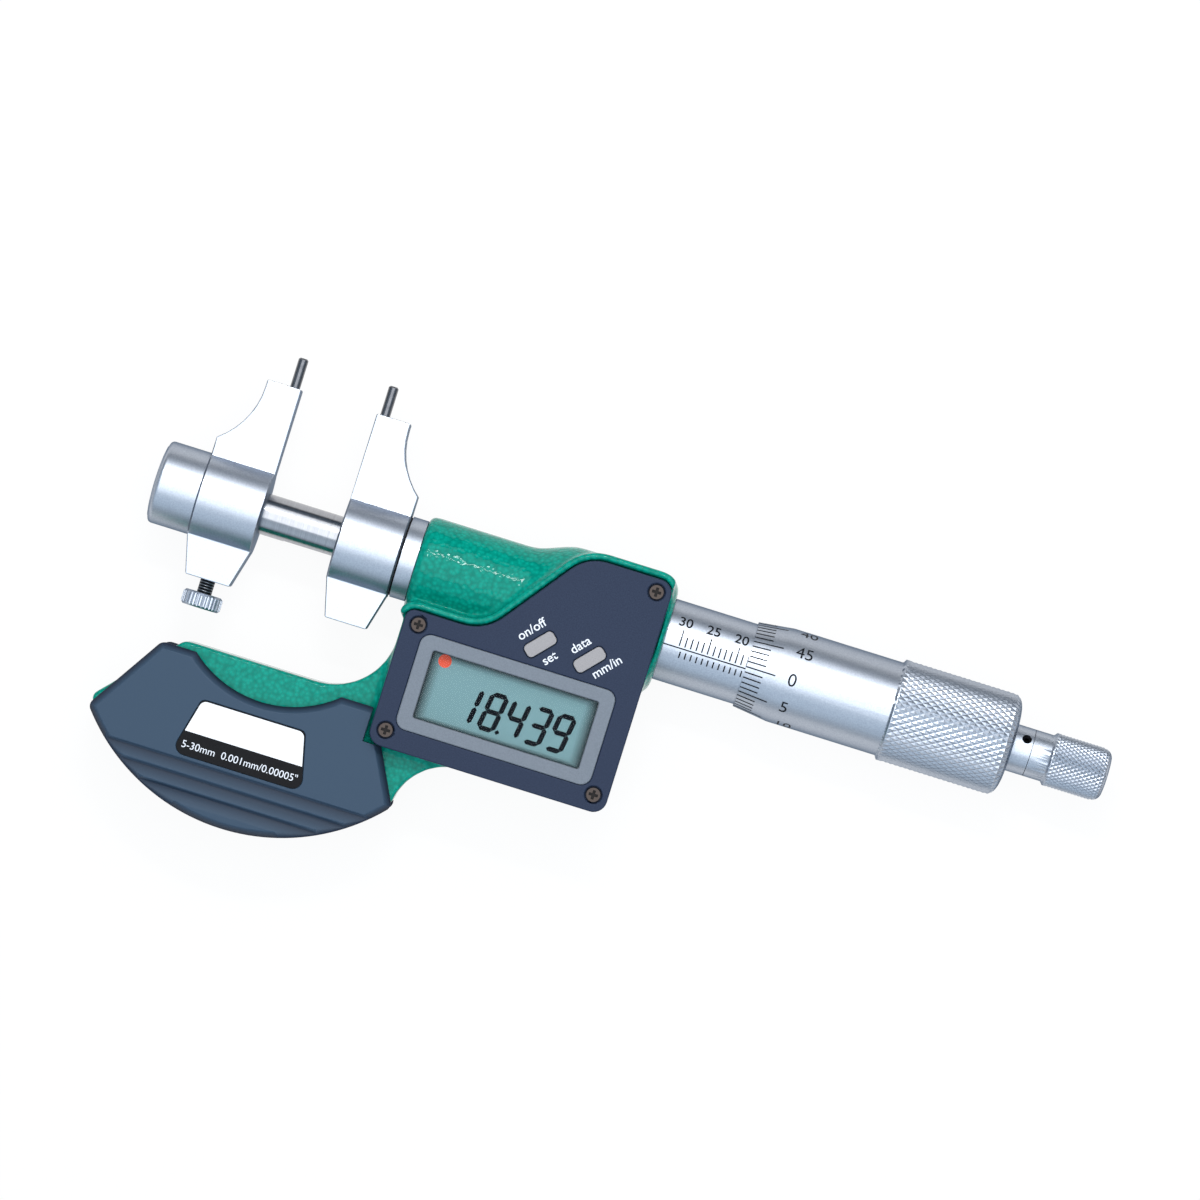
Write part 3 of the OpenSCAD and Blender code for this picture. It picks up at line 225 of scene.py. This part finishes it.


# Bronzed screw: paler on the top of the head, with painted shade making the cross recess and everything
# below the top dark
def bronzed_screw():
    material, tree, shader, place = new_material("bronzed_screw", Metallic=0.6, Roughness=0.4)
    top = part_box("cover_screws")[1].z
    recess = 0.3 * MM
    axes = add(tree, "ShaderNodeSeparateXYZ", links={"Vector": (place, "Object")})
    level = add(
        tree,
        "ShaderNodeMapRange",
        {"From Min": top - recess, "From Max": top},
        {"Value": (axes, "Z")},
    )
    # painted shade: near black below the top of the head, paler on the top itself
    two_tone(tree, shader, level, "Result", "#0E0908", "#463C37", at_low=0.1, at_high=0.95)
    return material


# Screw thread on dark steel: rings half a millimetre apart along the stud, with painted shade in the roots
# and a painted highlight on the crests
def threaded_steel():
    material, tree, shader, place = new_material("threaded_steel", Metallic=1.0, Roughness=0.35)
    pitch = 0.5
    wave_length = 20 / (2 * math.pi)
    rings = add(
        tree,
        "ShaderNodeTexWave",
        {"Scale": per_mm(pitch) / wave_length},
        {"Vector": (place, "Object")},
        bands_direction="Y",
    )
    # painted shade in the thread roots, painted highlight on the crests
    two_tone(tree, shader, rings, "Fac", "#202226", "#8E9296", at_low=0.2, at_high=0.8)
    relief(tree, shader, rings, "Fac", depth_mm=0.2, strength=1.0)
    return material


# Liquid crystal display: a grey-green field with painted shade darkening it towards its edges, where the
# bezel's recess shades it
def display_glass():
    material, tree, shader, place = new_material("display_glass", Roughness=0.35, Specular_IOR_Level=0.2)
    low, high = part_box("display_window")
    middle = (low + high) / 2
    wide, tall = ((high - low) / 2 - Vector((WINDOW_LAP, WINDOW_LAP, 0))).xy
    inside = add(
        tree,
        "ShaderNodeMapping",
        {
            "Location": (-middle.x / wide, -middle.y / tall, 0),
            "Scale": (1 / wide, 1 / tall, 0),
        },
        {"Vector": (place, "Object")},
    )
    away = add(
        tree,
        "ShaderNodeVectorMath",
        links={0: (inside, "Vector")},
        operation="ABSOLUTE",
    )
    axes = add(tree, "ShaderNodeSeparateXYZ", links={"Vector": (away, "Vector")})
    edge = add(tree, "ShaderNodeMath", links={0: (axes, "X"), 1: (axes, "Y")}, operation="MAXIMUM")
    # painted shade: darkens towards the display's edges under the bezel
    two_tone(tree, shader, edge, "Value", "#739499", "#26343A", at_low=0.86, at_high=1.0)
    return material


# Screen ink: a dense matt film, laid on a little unevenly
def screen_ink(name, dark, pale, roughness=0.55, sheen=0.2):
    material, tree, shader, place = new_material(name, Roughness=roughness, Specular_IOR_Level=sheen)
    film = add(
        tree,
        "ShaderNodeTexNoise",
        {"Scale": per_mm(0.3)},
        {"Vector": (place, "Object")},
    )
    two_tone(tree, shader, film, "Fac", dark, pale, at_low=0.35, at_high=0.65)
    return material


# Clear acrylic: all the light through, with a faint gloss on its face
def clear_acrylic():
    material, tree, shader, _ = new_material("clear_acrylic")
    tree.nodes.remove(shader)
    through = add(tree, "ShaderNodeBsdfTransparent", {"Color": (0.97, 0.985, 0.98, 1)})
    gloss = add(tree, "ShaderNodeBsdfGlossy", {"Roughness": 0.08})
    facing = add(tree, "ShaderNodeFresnel", {"IOR": 1.15})
    both = add(
        tree,
        "ShaderNodeMixShader",
        links={0: (facing, "Fac"), 1: (through, "BSDF"), 2: (gloss, "BSDF")},
    )
    tree.links.new(both.outputs["Shader"], tree.nodes["Material Output"].inputs["Surface"])
    return material


ENAMEL = hammered_enamel()
CHROME = satin_chrome()
STEEL = ground_steel()
CARBIDE = skinned_metal("ground_carbide", "#66676B", "#77787C", 0.2)
PANEL = moulded_plastic("panel_abs", "#222C41", "#2A354B", 0.5)
GRIP = grip_plastic()
BEZEL = moulded_plastic("bezel_abs", "#6F767F", "#787F88", 0.45)
BUTTON = moulded_plastic("button_abs", "#959293", "#9F9C9D", 0.45)
BLACK = moulded_plastic("black_abs", "#101012", "#18181A", 0.5)
RUBBER = moulded_plastic("seal_rubber", "#0C0C0D", "#131314", 0.7)
BOARD = moulded_plastic("circuit_laminate", "#14502F", "#1B613A", 0.4)
OXIDE = skinned_metal("black_oxide_steel", "#0C0C0E", "#1A1A1D", 0.4)
BRONZE = bronzed_screw()
THREAD = threaded_steel()
BRASS = skinned_metal("bare_brass", "#B08A3E", "#CFAA5C", 0.3)
WINDOW = clear_acrylic()
DISPLAY = display_glass()
DIGIT_INK = screen_ink("display_segments", "#040A12", "#080E16", 0.4, 0.04)
DOT_INK = screen_ink("orange_ink", "#DE5139", "#E65941")
WHITE_INK = screen_ink("white_ink", "#E1E4E9", "#E7EAEF")
SCALE_INK = screen_ink("scale_ink", "#13151A", "#191B20", 0.55, 0.1)
LABEL_WHITE = screen_ink("label_white", "#EEEEEF", "#F2F2F3", 0.35)
LABEL_BLACK = screen_ink("label_black", "#0C0C0F", "#121215", 0.35, 0.1)

FINISH = {
    "front_bush": CHROME,
    "fixed_jaw": CHROME,
    "fixed_pin": CARBIDE,
    "jaw_gasket": RUBBER,
    "guide_key": STEEL,
    "inner_sleeve": STEEL,
    "scale_sleeve": CHROME,
    "adjusting_nut": STEEL,
    "encoder_stator": BOARD,
    "encoder_rotor": BOARD,
    "front_cover": PANEL,
    "cover_screws": BRONZE,
    "display_bezel": BEZEL,
    "display_window": WINDOW,
    "lcd_panel": DISPLAY,
    "lcd_connectors": RUBBER,
    "circuit_board": BOARD,
    "tact_switches": BLACK,
    "battery_holder": BLACK,
    "battery_contact": BRASS,
    "button_cell": STEEL,
    "data_socket": BLACK,
    "data_port_cover": PANEL,
    "front_grip": GRIP,
    "rear_grip": GRIP,
    "grip_label": LABEL_BLACK,
    "moving_jaw": CHROME,
    "moving_pin": CARBIDE,
    "jaw_cap": CHROME,
    "jaw_rod": STEEL,
    "thrust_washer": BRASS,
    "lock_pad": BRASS,
    "lock_stud": THREAD,
    "lock_head": CHROME,
    "spindle": STEEL,
    "spindle_end_nut": STEEL,
    "thimble": CHROME,
    "ratchet_base": CHROME,
    "ratchet_grub_screw": OXIDE,
    "ratchet_screw": STEEL,
    "ratchet_knob": CHROME,
    "ratchet_spring": STEEL,
    "ratchet_plug": CHROME,
    "power_button": BUTTON,
    "data_button": BUTTON,
    "battery_seal": RUBBER,
    "battery_lid": PANEL,
    "frame": ENAMEL,
}
for name, material in FINISH.items():
    nodes[name].data.materials.clear()
    nodes[name].data.materials.append(material)


# Modelling


def only(piece):
    """Leaves this piece alone selected and active."""
    bpy.ops.object.select_all(action="DESELECT")
    piece.select_set(True)
    bpy.context.view_layer.objects.active = piece


def settle(piece, name, material, body):
    """Puts the piece's place into its mesh, and gives it its name, finish and body."""
    only(piece)
    bpy.ops.object.transform_apply(location=True, rotation=True, scale=True)
    piece.name = name
    piece.data.name = name
    piece.data.materials.clear()
    piece.data.materials.append(material)
    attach(piece, body)


def merged(pieces):
    """One piece from several, with their places put into its mesh."""
    bpy.ops.object.select_all(action="DESELECT")
    for piece in pieces:
        piece.select_set(True)
    bpy.context.view_layer.objects.active = pieces[0]
    bpy.ops.object.transform_apply(location=True, rotation=True, scale=True)
    if len(pieces) > 1:
        bpy.ops.object.join()
    return bpy.context.active_object


def copy_of(node):
    """A separate copy of a CAD node, with its loose triangles joined up."""
    piece = bpy.data.objects.new(node + "_copy", nodes[node].data.copy())
    scene.collection.objects.link(piece)
    only(piece)
    bpy.ops.object.mode_set(mode="EDIT")
    bpy.ops.mesh.select_all(action="SELECT")
    bpy.ops.mesh.remove_doubles(threshold=0.002 * MM)
    bpy.ops.object.mode_set(mode="OBJECT")
    return piece


def finish_with(piece, kind, **settings):
    """Adds a modifier with these settings and applies it."""
    modifier = piece.modifiers.new(kind.lower(), kind)
    for key, value in settings.items():
        setattr(modifier, key, value)
    only(piece)
    bpy.ops.object.modifier_apply(modifier=modifier.name)


def wrap(piece, radius, pitch_r=None):
    """Lays a flat piece, drawn along X and round by Y, on a drum about the spindle axis."""
    for vertex in piece.data.vertices:
        x, along, high = vertex.co
        at = radius(x)
        angle = along / (pitch_r or at)
        vertex.co = (x, (at + high) * math.sin(angle), AXIS_Z + (at + high) * math.cos(angle))
    piece.data.update()


def arc_for(y, r):
    """Length round a drum of radius r to the line that is seen y above its middle."""
    return r * math.asin(y / r)


def stroke(x0, x1, y0, y1, steps=1):
    """A thin flat printed stroke."""
    bpy.ops.mesh.primitive_grid_add(x_subdivisions=1, y_subdivisions=steps, size=1)
    piece = bpy.context.active_object
    piece.scale = (x1 - x0, y1 - y0, 1)
    piece.location = ((x0 + x1) / 2, (y0 + y1) / 2, INK)
    return piece


def lettering(words, height, x, y, turn=0.0, align="CENTER", bold=0.0):
    """Flat words whose capitals are as tall as height, centred on x, y and made a mesh."""
    bpy.ops.object.text_add()
    piece = bpy.context.active_object
    piece.data.body = words
    piece.data.size = height / CAPITAL_SHARE
    piece.data.align_x = align
    piece.data.align_y = "CENTER"
    piece.data.offset = bold
    only(piece)
    bpy.ops.object.convert(target="MESH")
    piece = bpy.context.active_object
    piece.rotation_euler = (0, 0, turn)
    piece.location = (x, y, INK)
    return piece


def figure_on_drum(*args, **settings):
    """Words cut into faces small enough to follow the round of a drum."""
    piece = lettering(*args, **settings)
    only(piece)
    bpy.ops.object.mode_set(mode="EDIT")
    bpy.ops.mesh.select_all(action="SELECT")
    bpy.ops.mesh.subdivide(number_cuts=2)
    bpy.ops.object.mode_set(mode="OBJECT")
    return piece


# Well under a button: the softened floor is pressed down again, clear of the button's stroke
def clear_well(piece, button):
    low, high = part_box(button)
    middle = (low + high) / 2
    press = 0.35 * MM
    room = 0.9 * MM
    half_len = 3.35 * MM + room
    half_w = 1.7 * MM + room
    deepest = low.z - 2 * MM
    well_floor = low.z - press - room / 2
    back = Matrix.Rotation(-BUTTON_TURN, 2)
    for vertex in piece.data.vertices:
        along, across = back @ (vertex.co - middle).xy
        under = abs(along) < half_len and abs(across) < half_w
        if under and deepest < vertex.co.z < high.z:
            vertex.co.z = min(vertex.co.z, well_floor)


# Cast frame: the CAD shape with its edges and inner corners softened as a sand casting's are
def cast_frame():
    piece = copy_of("frame")
    finish_with(piece, "REMESH", mode="VOXEL", voxel_size=0.5 * MM, use_smooth_shade=True)
    finish_with(piece, "SMOOTH", factor=0.5, iterations=5)
    for button in ("power_button", "data_button"):
        clear_well(piece, button)
    settle(piece, "frame_casting", ENAMEL, "frame")
    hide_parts("frame")


# Diamond knurl: a sheet of flat diamonds, each drawn up to a point, laid round the drum
def knurl(x0, x1, groove_r, depth, along, around, end):
    length = x1 - x0
    bpy.ops.object.select_all(action="DESELECT")
    bpy.ops.mesh.primitive_grid_add(x_subdivisions=along, y_subdivisions=around, size=1)
    piece = bpy.context.active_object
    piece.scale = (length, 2 * math.pi * groove_r, 1)
    piece.location = (x0 + length / 2, 0, 0)
    bpy.ops.object.transform_apply(location=True, rotation=True, scale=True)
    bpy.ops.object.mode_set(mode="EDIT")
    bpy.ops.mesh.select_all(action="SELECT")
    bpy.ops.mesh.poke()
    bpy.ops.mesh.select_mode(type="EDGE")
    bpy.ops.mesh.select_all(action="DESELECT")
    bpy.ops.object.mode_set(mode="OBJECT")
    points = piece.data.vertices
    small = 0.001 * MM
    for edge in piece.data.edges:
        a, b = (points[i].co for i in edge.vertices)
        edge.select = abs(a.x - b.x) < small or abs(a.y - b.y) < small
    bpy.ops.object.mode_set(mode="EDIT")
    bpy.ops.mesh.dissolve_edges(use_verts=False)
    bpy.ops.mesh.select_mode(type="FACE")
    bpy.ops.mesh.select_all(action="SELECT")
    bpy.ops.mesh.poke(offset=depth)
    bpy.ops.object.mode_set(mode="OBJECT")
    end_x, end_len, end_drop = end

    def surface(x):
        past = max(0, (x - end_x + end_len) / end_len)
        at_rim = min(x - x0, x1 - x) < small
        return groove_r + (depth if at_rim else 0) - end_drop * (1 - math.sqrt(1 - past * past))

    wrap(piece, surface, groove_r)
    only(piece)
    bpy.ops.object.mode_set(mode="EDIT")
    bpy.ops.mesh.select_all(action="SELECT")
    bpy.ops.mesh.remove_doubles(threshold=0.01 * MM)
    bpy.ops.mesh.normals_make_consistent(inside=False)
    bpy.ops.object.mode_set(mode="OBJECT")
    return piece


def knurled(node, name, body, x0, x1, top_r, depth, along, around, end):
    """A copy of a turned CAD node whose plain grip, from x0 to x1, gets a diamond knurl."""
    turned = copy_of(node)
    bpy.ops.object.mode_set(mode="EDIT")
    bpy.ops.mesh.select_mode(type="FACE")
    bpy.ops.mesh.select_all(action="DESELECT")
    bpy.ops.object.mode_set(mode="OBJECT")
    for face in turned.data.polygons:
        middle = face.center
        out = Vector((0, middle.y, middle.z - AXIS_Z))
        outer = out.length > top_r - end[2] and out.dot(face.normal) > 0
        face.select = outer and x0 < middle.x < x1
    bpy.ops.object.mode_set(mode="EDIT")
    bpy.ops.mesh.delete(type="FACE")
    bpy.ops.object.mode_set(mode="OBJECT")
    only(turned)
    bpy.ops.object.shade_smooth_by_angle(angle=math.radians(15))
    finish_with(turned, "WEIGHTED_NORMAL", keep_sharp=True)
    grip = knurl(x0, x1, top_r - depth, depth, along, around, end)
    piece = merged([turned, grip])
    settle(piece, name, CHROME, body)
    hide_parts(node)


# Graduations of the sleeve: whole millimetres above the index line, halves below
def sleeve_scale():
    low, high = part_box("scale_sleeve")
    r = high.y
    start = low.x - INK
    index_end = start + 31 * MM
    first = start + 2.7 * MM
    longest_reading = 30
    travel = 25
    index_low = -0.86 * MM
    index_high = -0.64 * MM
    mark_foot = -0.4 * MM
    long_top = 2.4 * MM
    short_top = 1.4 * MM
    half_foot = -2.4 * MM
    half_top = -1.3 * MM
    number_height = 1.75 * MM
    number_y = arc_for(3.7 * MM, r)

    def line(x0, x1, y0, y1, steps=1):
        return stroke(x0, x1, arc_for(y0, r), arc_for(y1, r), steps)

    def tick(x, y0, y1, steps):
        return line(x - SCALE_LINE / 2, x + SCALE_LINE / 2, y0, y1, steps)

    marks = [line(start, index_end, index_low, index_high)]
    for i in range(travel + 1):
        x = first + i * MM
        numbered = i % 5 == 0
        marks.append(tick(x, mark_foot, long_top if numbered else short_top, steps=6))
        if i < travel:
            marks.append(tick(x + MM / 2, half_foot, half_top, steps=4))
        if numbered:
            number = str(longest_reading - i)
            marks.append(figure_on_drum(number, number_height, x, number_y, bold=0.03 * MM))
    piece = merged(marks)
    wrap(piece, lambda x: r)
    settle(piece, "sleeve_graduations", SCALE_INK, "frame")


# Graduations of the thimble: fifty divisions on its bevelled edge, numbered every five
def thimble_scale():
    edge_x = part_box("thimble")[0].x
    edge_r = 7.55 * MM
    drum_r = 8.35 * MM
    bevel = 6.2 * MM
    divisions = 50
    zero = math.radians(-2.6)
    long_mark = 5.2 * MM
    short_mark = 3.2 * MM
    number_height = 2.2 * MM
    number_x = edge_x + 7.4 * MM

    def surface(x):
        return edge_r + (drum_r - edge_r) * min(1, max(0, (x - edge_x) / bevel))

    def laid(piece, angle):
        """The flat piece laid on the thimble and turned back by angle about the spindle axis."""
        only(piece)
        bpy.ops.object.transform_apply(location=True, rotation=True, scale=True)
        wrap(piece, surface)
        to_axis = Matrix.Translation((0, 0, AXIS_Z))
        piece.data.transform(to_axis @ Matrix.Rotation(-angle, 4, "X") @ to_axis.inverted())
        return piece

    marks = []
    for i in range(divisions):
        angle = zero - 2 * math.pi / divisions * i
        numbered = i % 5 == 0
        mark_end = edge_x + (long_mark if numbered else short_mark)
        mark = stroke(edge_x + INK, mark_end, -SCALE_LINE / 2, SCALE_LINE / 2)
        marks.append(laid(mark, angle))
        if numbered:
            number = figure_on_drum(str(i), number_height, number_x, 0, align="LEFT")
            marks.append(laid(number, angle))
    settle(merged(marks), "thimble_graduations", SCALE_INK, "thimble")


# White words beside the buttons, on the slant of the buttons
def panel_words():
    height = 1.53 * MM
    bold = 0.02 * MM
    places = [("on/off", 0.14, -5.2), ("set", 4.5, -9.0), ("data", 8.9, -5.3), ("mm/in", 14.3, -7.55)]
    words = [lettering(word, height, x * MM, y * MM, BUTTON_TURN, bold=bold) for word, x, y in places]
    piece = merged(words)
    piece.data.transform(Matrix.Translation((0, 0, COVER_Z)))
    settle(piece, "panel_words", WHITE_INK, "frame")


# Seven-segment figures, leaning a little: each bar's side, its row, and whether it stands upright
BARS = {
    "a": (0, 1, 0),
    "b": (1, 0.5, 1),
    "c": (1, -0.5, 1),
    "d": (0, -1, 0),
    "e": (-1, -0.5, 1),
    "f": (-1, 0.5, 1),
    "g": (0, 0, 0),
}
FIGURES = {
    "1": "bc",
    "3": "abcdg",
    "4": "bcfg",
    "8": "abcdefg",
    "9": "abcdfg",
}


def bar(x, y, length, thick, upright):
    """One segment, a flat bar with its corners cut to a blunt point."""
    corner = 0.46 * thick
    bpy.ops.object.select_all(action="DESELECT")
    bpy.ops.mesh.primitive_plane_add(size=1)
    piece = bpy.context.active_object
    piece.scale = (thick, length, 1) if upright else (length, thick, 1)
    bpy.ops.object.transform_apply(location=False, rotation=False, scale=True)
    bpy.ops.object.mode_set(mode="EDIT")
    bpy.ops.mesh.select_all(action="SELECT")
    bpy.ops.mesh.bevel(offset=corner, affect="VERTICES")
    bpy.ops.object.mode_set(mode="OBJECT")
    piece.location = (x, y, 0)
    return piece


def display_figures():
    middle_y = -20.75 * MM
    half_h = 3.05 * MM
    half_w = 1.25 * MM
    thick = 0.86 * MM
    gap = 0.1 * MM
    point_x = 0.1 * MM
    point_size = 0.85 * MM
    bars = []
    for figure, x in [("1", -6.35), ("8", -2.0), ("4", 2.05), ("3", 6.15), ("9", 10.1)]:
        for name in FIGURES[figure]:
            side, row, upright = BARS[name]
            length = (half_h if upright else 2 * half_w) - gap
            bars.append(bar(x * MM + side * half_w, middle_y + row * half_h, length, thick, upright))
    bars.append(bar(point_x, middle_y - half_h, point_size, point_size, upright=0))
    piece = merged(bars)
    lean = math.tan(math.radians(8))
    for vertex in piece.data.vertices:
        vertex.co.x += (vertex.co.y - middle_y) * lean
        vertex.co.z = DISPLAY_Z + INK
    settle(piece, "display_figures", DIGIT_INK, "frame")


# Orange mark printed behind the window
def display_dot():
    dot_x = -12.4 * MM
    dot_y = -14.8 * MM
    bpy.ops.object.select_all(action="DESELECT")
    bpy.ops.mesh.primitive_circle_add(vertices=40, radius=1.15 * MM, fill_type="NGON")
    piece = bpy.context.active_object
    bpy.ops.object.mode_set(mode="EDIT")
    bpy.ops.mesh.select_all(action="SELECT")
    bpy.ops.mesh.inset(thickness=0.2 * MM)
    bpy.ops.object.mode_set(mode="OBJECT")
    piece.location = (dot_x, dot_y, DISPLAY_Z + INK)
    settle(piece, "display_dot", DOT_INK, "frame")


# Print on the label: a white field left bare above, and the range in white on the black foot
def label_print():
    low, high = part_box("grip_label")
    middle = (low.x + high.x) / 2
    top_w = 18.4 * MM
    foot_w = 23.2 * MM
    split_y = high.y - 5.85 * MM
    edge = 0.14 * MM
    corner_r = 0.9 * MM
    range_height = 1.24 * MM
    range_y = -41.6 * MM

    def half(y):
        return (top_w + (foot_w - top_w) * (high.y - y) / (high.y - low.y)) / 2 - edge

    bpy.ops.object.select_all(action="DESELECT")
    bpy.ops.mesh.primitive_plane_add(size=1)
    field = bpy.context.active_object
    for vertex in field.data.vertices:
        y = high.y - edge if vertex.co.y > 0 else split_y
        vertex.co = (middle + math.copysign(half(y), vertex.co.x), y, LABEL_Z + INK)
    bpy.ops.object.mode_set(mode="EDIT")
    bpy.ops.mesh.select_mode(type="VERT")
    bpy.ops.mesh.select_all(action="DESELECT")
    bpy.ops.object.mode_set(mode="OBJECT")
    for vertex in field.data.vertices:
        vertex.select = vertex.co.y > split_y + edge
    bpy.ops.object.mode_set(mode="EDIT")
    bpy.ops.mesh.bevel(offset=corner_r, segments=6, affect="VERTICES")
    bpy.ops.object.mode_set(mode="OBJECT")
    settle(field, "label_field", LABEL_WHITE, "frame")
    words = lettering('5-30mm  0.001mm/0.00005"', range_height, middle, range_y)
    words.location.z = LABEL_Z + INK
    settle(words, "label_range", WHITE_INK, "frame")


def face_corners(faces):
    """Edges where the broad level faces of a piece fall away to its sides."""
    upright = 0.99
    broad_share = 0.3
    sharp = 0.87

    def height(face):
        return round(face.center.z / MM, 1)

    level = [face for face in faces if abs(face.normal.z) > upright]
    area = {}
    for face in level:
        area[height(face)] = area.get(height(face), 0) + face.area
    least = broad_share * max(area.values())
    tops = {}
    for face in level:
        if area[height(face)] > least:
            for key in face.edge_keys:
                tops[key] = face
    corners = set()
    for face in faces:
        for key in face.edge_keys:
            top = tops.get(key)
            if not top:
                continue
            falls_away = top.normal.dot(face.center - top.center) < 0
            if falls_away and face.normal.dot(top.normal) < sharp:
                corners.add(key)
    return corners


# Softened edges: a copy of a machined or moulded node, with the edges of its broad faces broken
def softened(node, body, width, segments):
    piece = copy_of(node)
    bpy.ops.object.mode_set(mode="EDIT")
    bpy.ops.mesh.select_all(action="SELECT")
    bpy.ops.mesh.dissolve_limited(angle_limit=math.radians(0.5))
    bpy.ops.object.mode_set(mode="OBJECT")
    corners = face_corners(piece.data.polygons)
    share = piece.data.attributes.new("bevel_weight_edge", "FLOAT", "EDGE")
    for edge in piece.data.edges:
        share.data[edge.index].value = float(edge.key in corners)
    finish_with(
        piece,
        "BEVEL",
        width=width,
        segments=segments,
        limit_method="WEIGHT",
        use_clamp_overlap=False,
    )
    only(piece)
    bpy.ops.object.shade_smooth_by_angle(angle=math.radians(35))
    finish_with(piece, "WEIGHTED_NORMAL", keep_sharp=True)
    settle(piece, node + "_softened", FINISH[node], body)
    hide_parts(node)


cast_frame()
for jaw, body in [("fixed_jaw", "frame"), ("moving_jaw", "moving_jaw")]:
    softened(jaw, body, width=0.18 * MM, segments=1)
softened("front_cover", "frame", width=0.25 * MM, segments=2)
for grip in ("front_grip", "rear_grip"):
    softened(grip, "frame", width=0.15 * MM, segments=2)
softened("display_bezel", "frame", width=0.25 * MM, segments=2)
for button in ("power_button", "data_button"):
    softened(button, button, width=0.15 * MM, segments=2)
thimble_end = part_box("thimble")[1].x
knurled(
    "thimble",
    "thimble_drum",
    "thimble",
    x0=thimble_end - 21.5 * MM,
    x1=thimble_end - 0.53 * MM,
    top_r=9.0 * MM,
    depth=0.2 * MM,
    along=12,
    around=52,
    end=(thimble_end, 1.8 * MM, 3.2 * MM),
)
knob_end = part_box("ratchet_knob")[1].x
knurled(
    "ratchet_knob",
    "ratchet_grip",
    "ratchet",
    x0=knob_end - 10.1 * MM,
    x1=knob_end - 0.6 * MM,
    top_r=4.7 * MM,
    depth=0.2 * MM,
    along=8,
    around=38,
    end=(knob_end, 2.0 * MM, 1.5 * MM),
)
sleeve_scale()
thimble_scale()
panel_words()
display_figures()
display_dot()
label_print()


# Studio: floor, light and camera


# White paper floor that keeps the object's shadow
def paper_floor():
    bpy.ops.object.select_all(action="DESELECT")
    bpy.ops.mesh.primitive_plane_add(size=6, location=(0, 0, 0))
    floor = bpy.context.active_object
    floor.name = "floor"
    material, tree, shader, _ = new_material("floor_paper", Roughness=0.9)
    shader.inputs["Base Color"].default_value = linear("#F4F5F7")
    white = add(tree, "ShaderNodeEmission", {"Color": (1, 1, 1, 1), "Strength": 1.0})
    white_share = 0.93
    ray = add(tree, "ShaderNodeLightPath")
    seen = add(
        tree,
        "ShaderNodeMath",
        links={0: (ray, "Is Camera Ray"), 1: (ray, "Is Glossy Ray")},
        operation="MAXIMUM",
    )
    seen_or_through = add(
        tree,
        "ShaderNodeMath",
        links={0: (seen, "Value"), 1: (ray, "Is Transmission Ray")},
        operation="MAXIMUM",
    )
    share = add(
        tree,
        "ShaderNodeMath",
        {1: white_share},
        {0: (seen_or_through, "Value")},
        operation="MULTIPLY",
    )
    both = add(
        tree,
        "ShaderNodeMixShader",
        links={0: (share, "Value"), 1: (shader, "BSDF"), 2: (white, "Emission")},
    )
    tree.links.new(both.outputs["Shader"], tree.nodes["Material Output"].inputs["Surface"])
    floor.data.materials.append(material)


# A grey-blue room, darker on the side of the measuring pins and towards the floor
def room_light():
    bright_side = (0.74, 0.88, 1.02, 1)
    dark_side = (0.12, 0.17, 0.23, 1)
    world = bpy.data.worlds.new("studio")
    scene.world = world
    world.use_nodes = True
    tree = world.node_tree
    room = tree.nodes["Background"]
    room.inputs["Strength"].default_value = 1.0
    way = add(tree, "ShaderNodeTexCoord")
    axes = add(tree, "ShaderNodeSeparateXYZ", links={"Vector": (way, "Generated")})
    side = add(tree, "ShaderNodeMapRange", {"From Min": -1.0, "From Max": 1.0}, {"Value": (axes, "Y")})
    shade = add(tree, "ShaderNodeValToRGB", links={"Fac": (side, "Result")})
    shade.color_ramp.elements[0].position = 0.1
    shade.color_ramp.elements[0].color = bright_side
    shade.color_ramp.elements[1].position = 0.9
    shade.color_ramp.elements[1].color = dark_side
    height = add(
        tree,
        "ShaderNodeMapRange",
        {"From Min": 0.0, "From Max": 0.45, "To Min": 0.12, "To Max": 1.0},
        {"Value": (axes, "Z")},
    )
    room_colour = add(
        tree,
        "ShaderNodeVectorMath",
        links={0: (shade, "Color"), "Scale": (height, "Result")},
        operation="SCALE",
    )
    tree.links.new(room_colour.outputs["Vector"], room.inputs["Color"])


def softbox(name, x, angle, distance, size, brightness):
    """A lamp above x, leaning towards the pins by angle."""
    lean = math.radians(angle)
    lamp = bpy.data.lights.new(name, "AREA")
    lamp.shape = "RECTANGLE"
    lamp.size, lamp.size_y = size
    lamp.energy = brightness * math.pi * size[0] * size[1]
    holder = bpy.data.objects.new(name, lamp)
    scene.collection.objects.link(holder)
    holder.location = (x, distance * math.sin(lean), distance * math.cos(lean))
    holder.rotation_euler = (-lean, 0, 0)


# Camera straight above, turned as the instrument lies in the photograph
def overhead_camera():
    across = 9.74 * MM
    up = 3.05 * MM
    distance = 1.08
    turn = math.radians(17.35)
    camera = bpy.data.cameras.new("camera")
    camera.lens = 188.25
    camera.sensor_width = 36
    holder = bpy.data.objects.new("camera", camera)
    scene.collection.objects.link(holder)
    holder.location = (across, up, AXIS_Z + distance)
    holder.rotation_euler = (0, 0, turn)
    scene.camera = holder
    scene.view_settings.view_transform = "Standard"


paper_floor()
room_light()
softbox("overhead", x=0, angle=18, distance=0.6, size=(0.7, 0.98), brightness=1.82)
softbox("strip", x=-0.045, angle=30, distance=0.58, size=(0.16, 0.036), brightness=52)
overhead_camera()
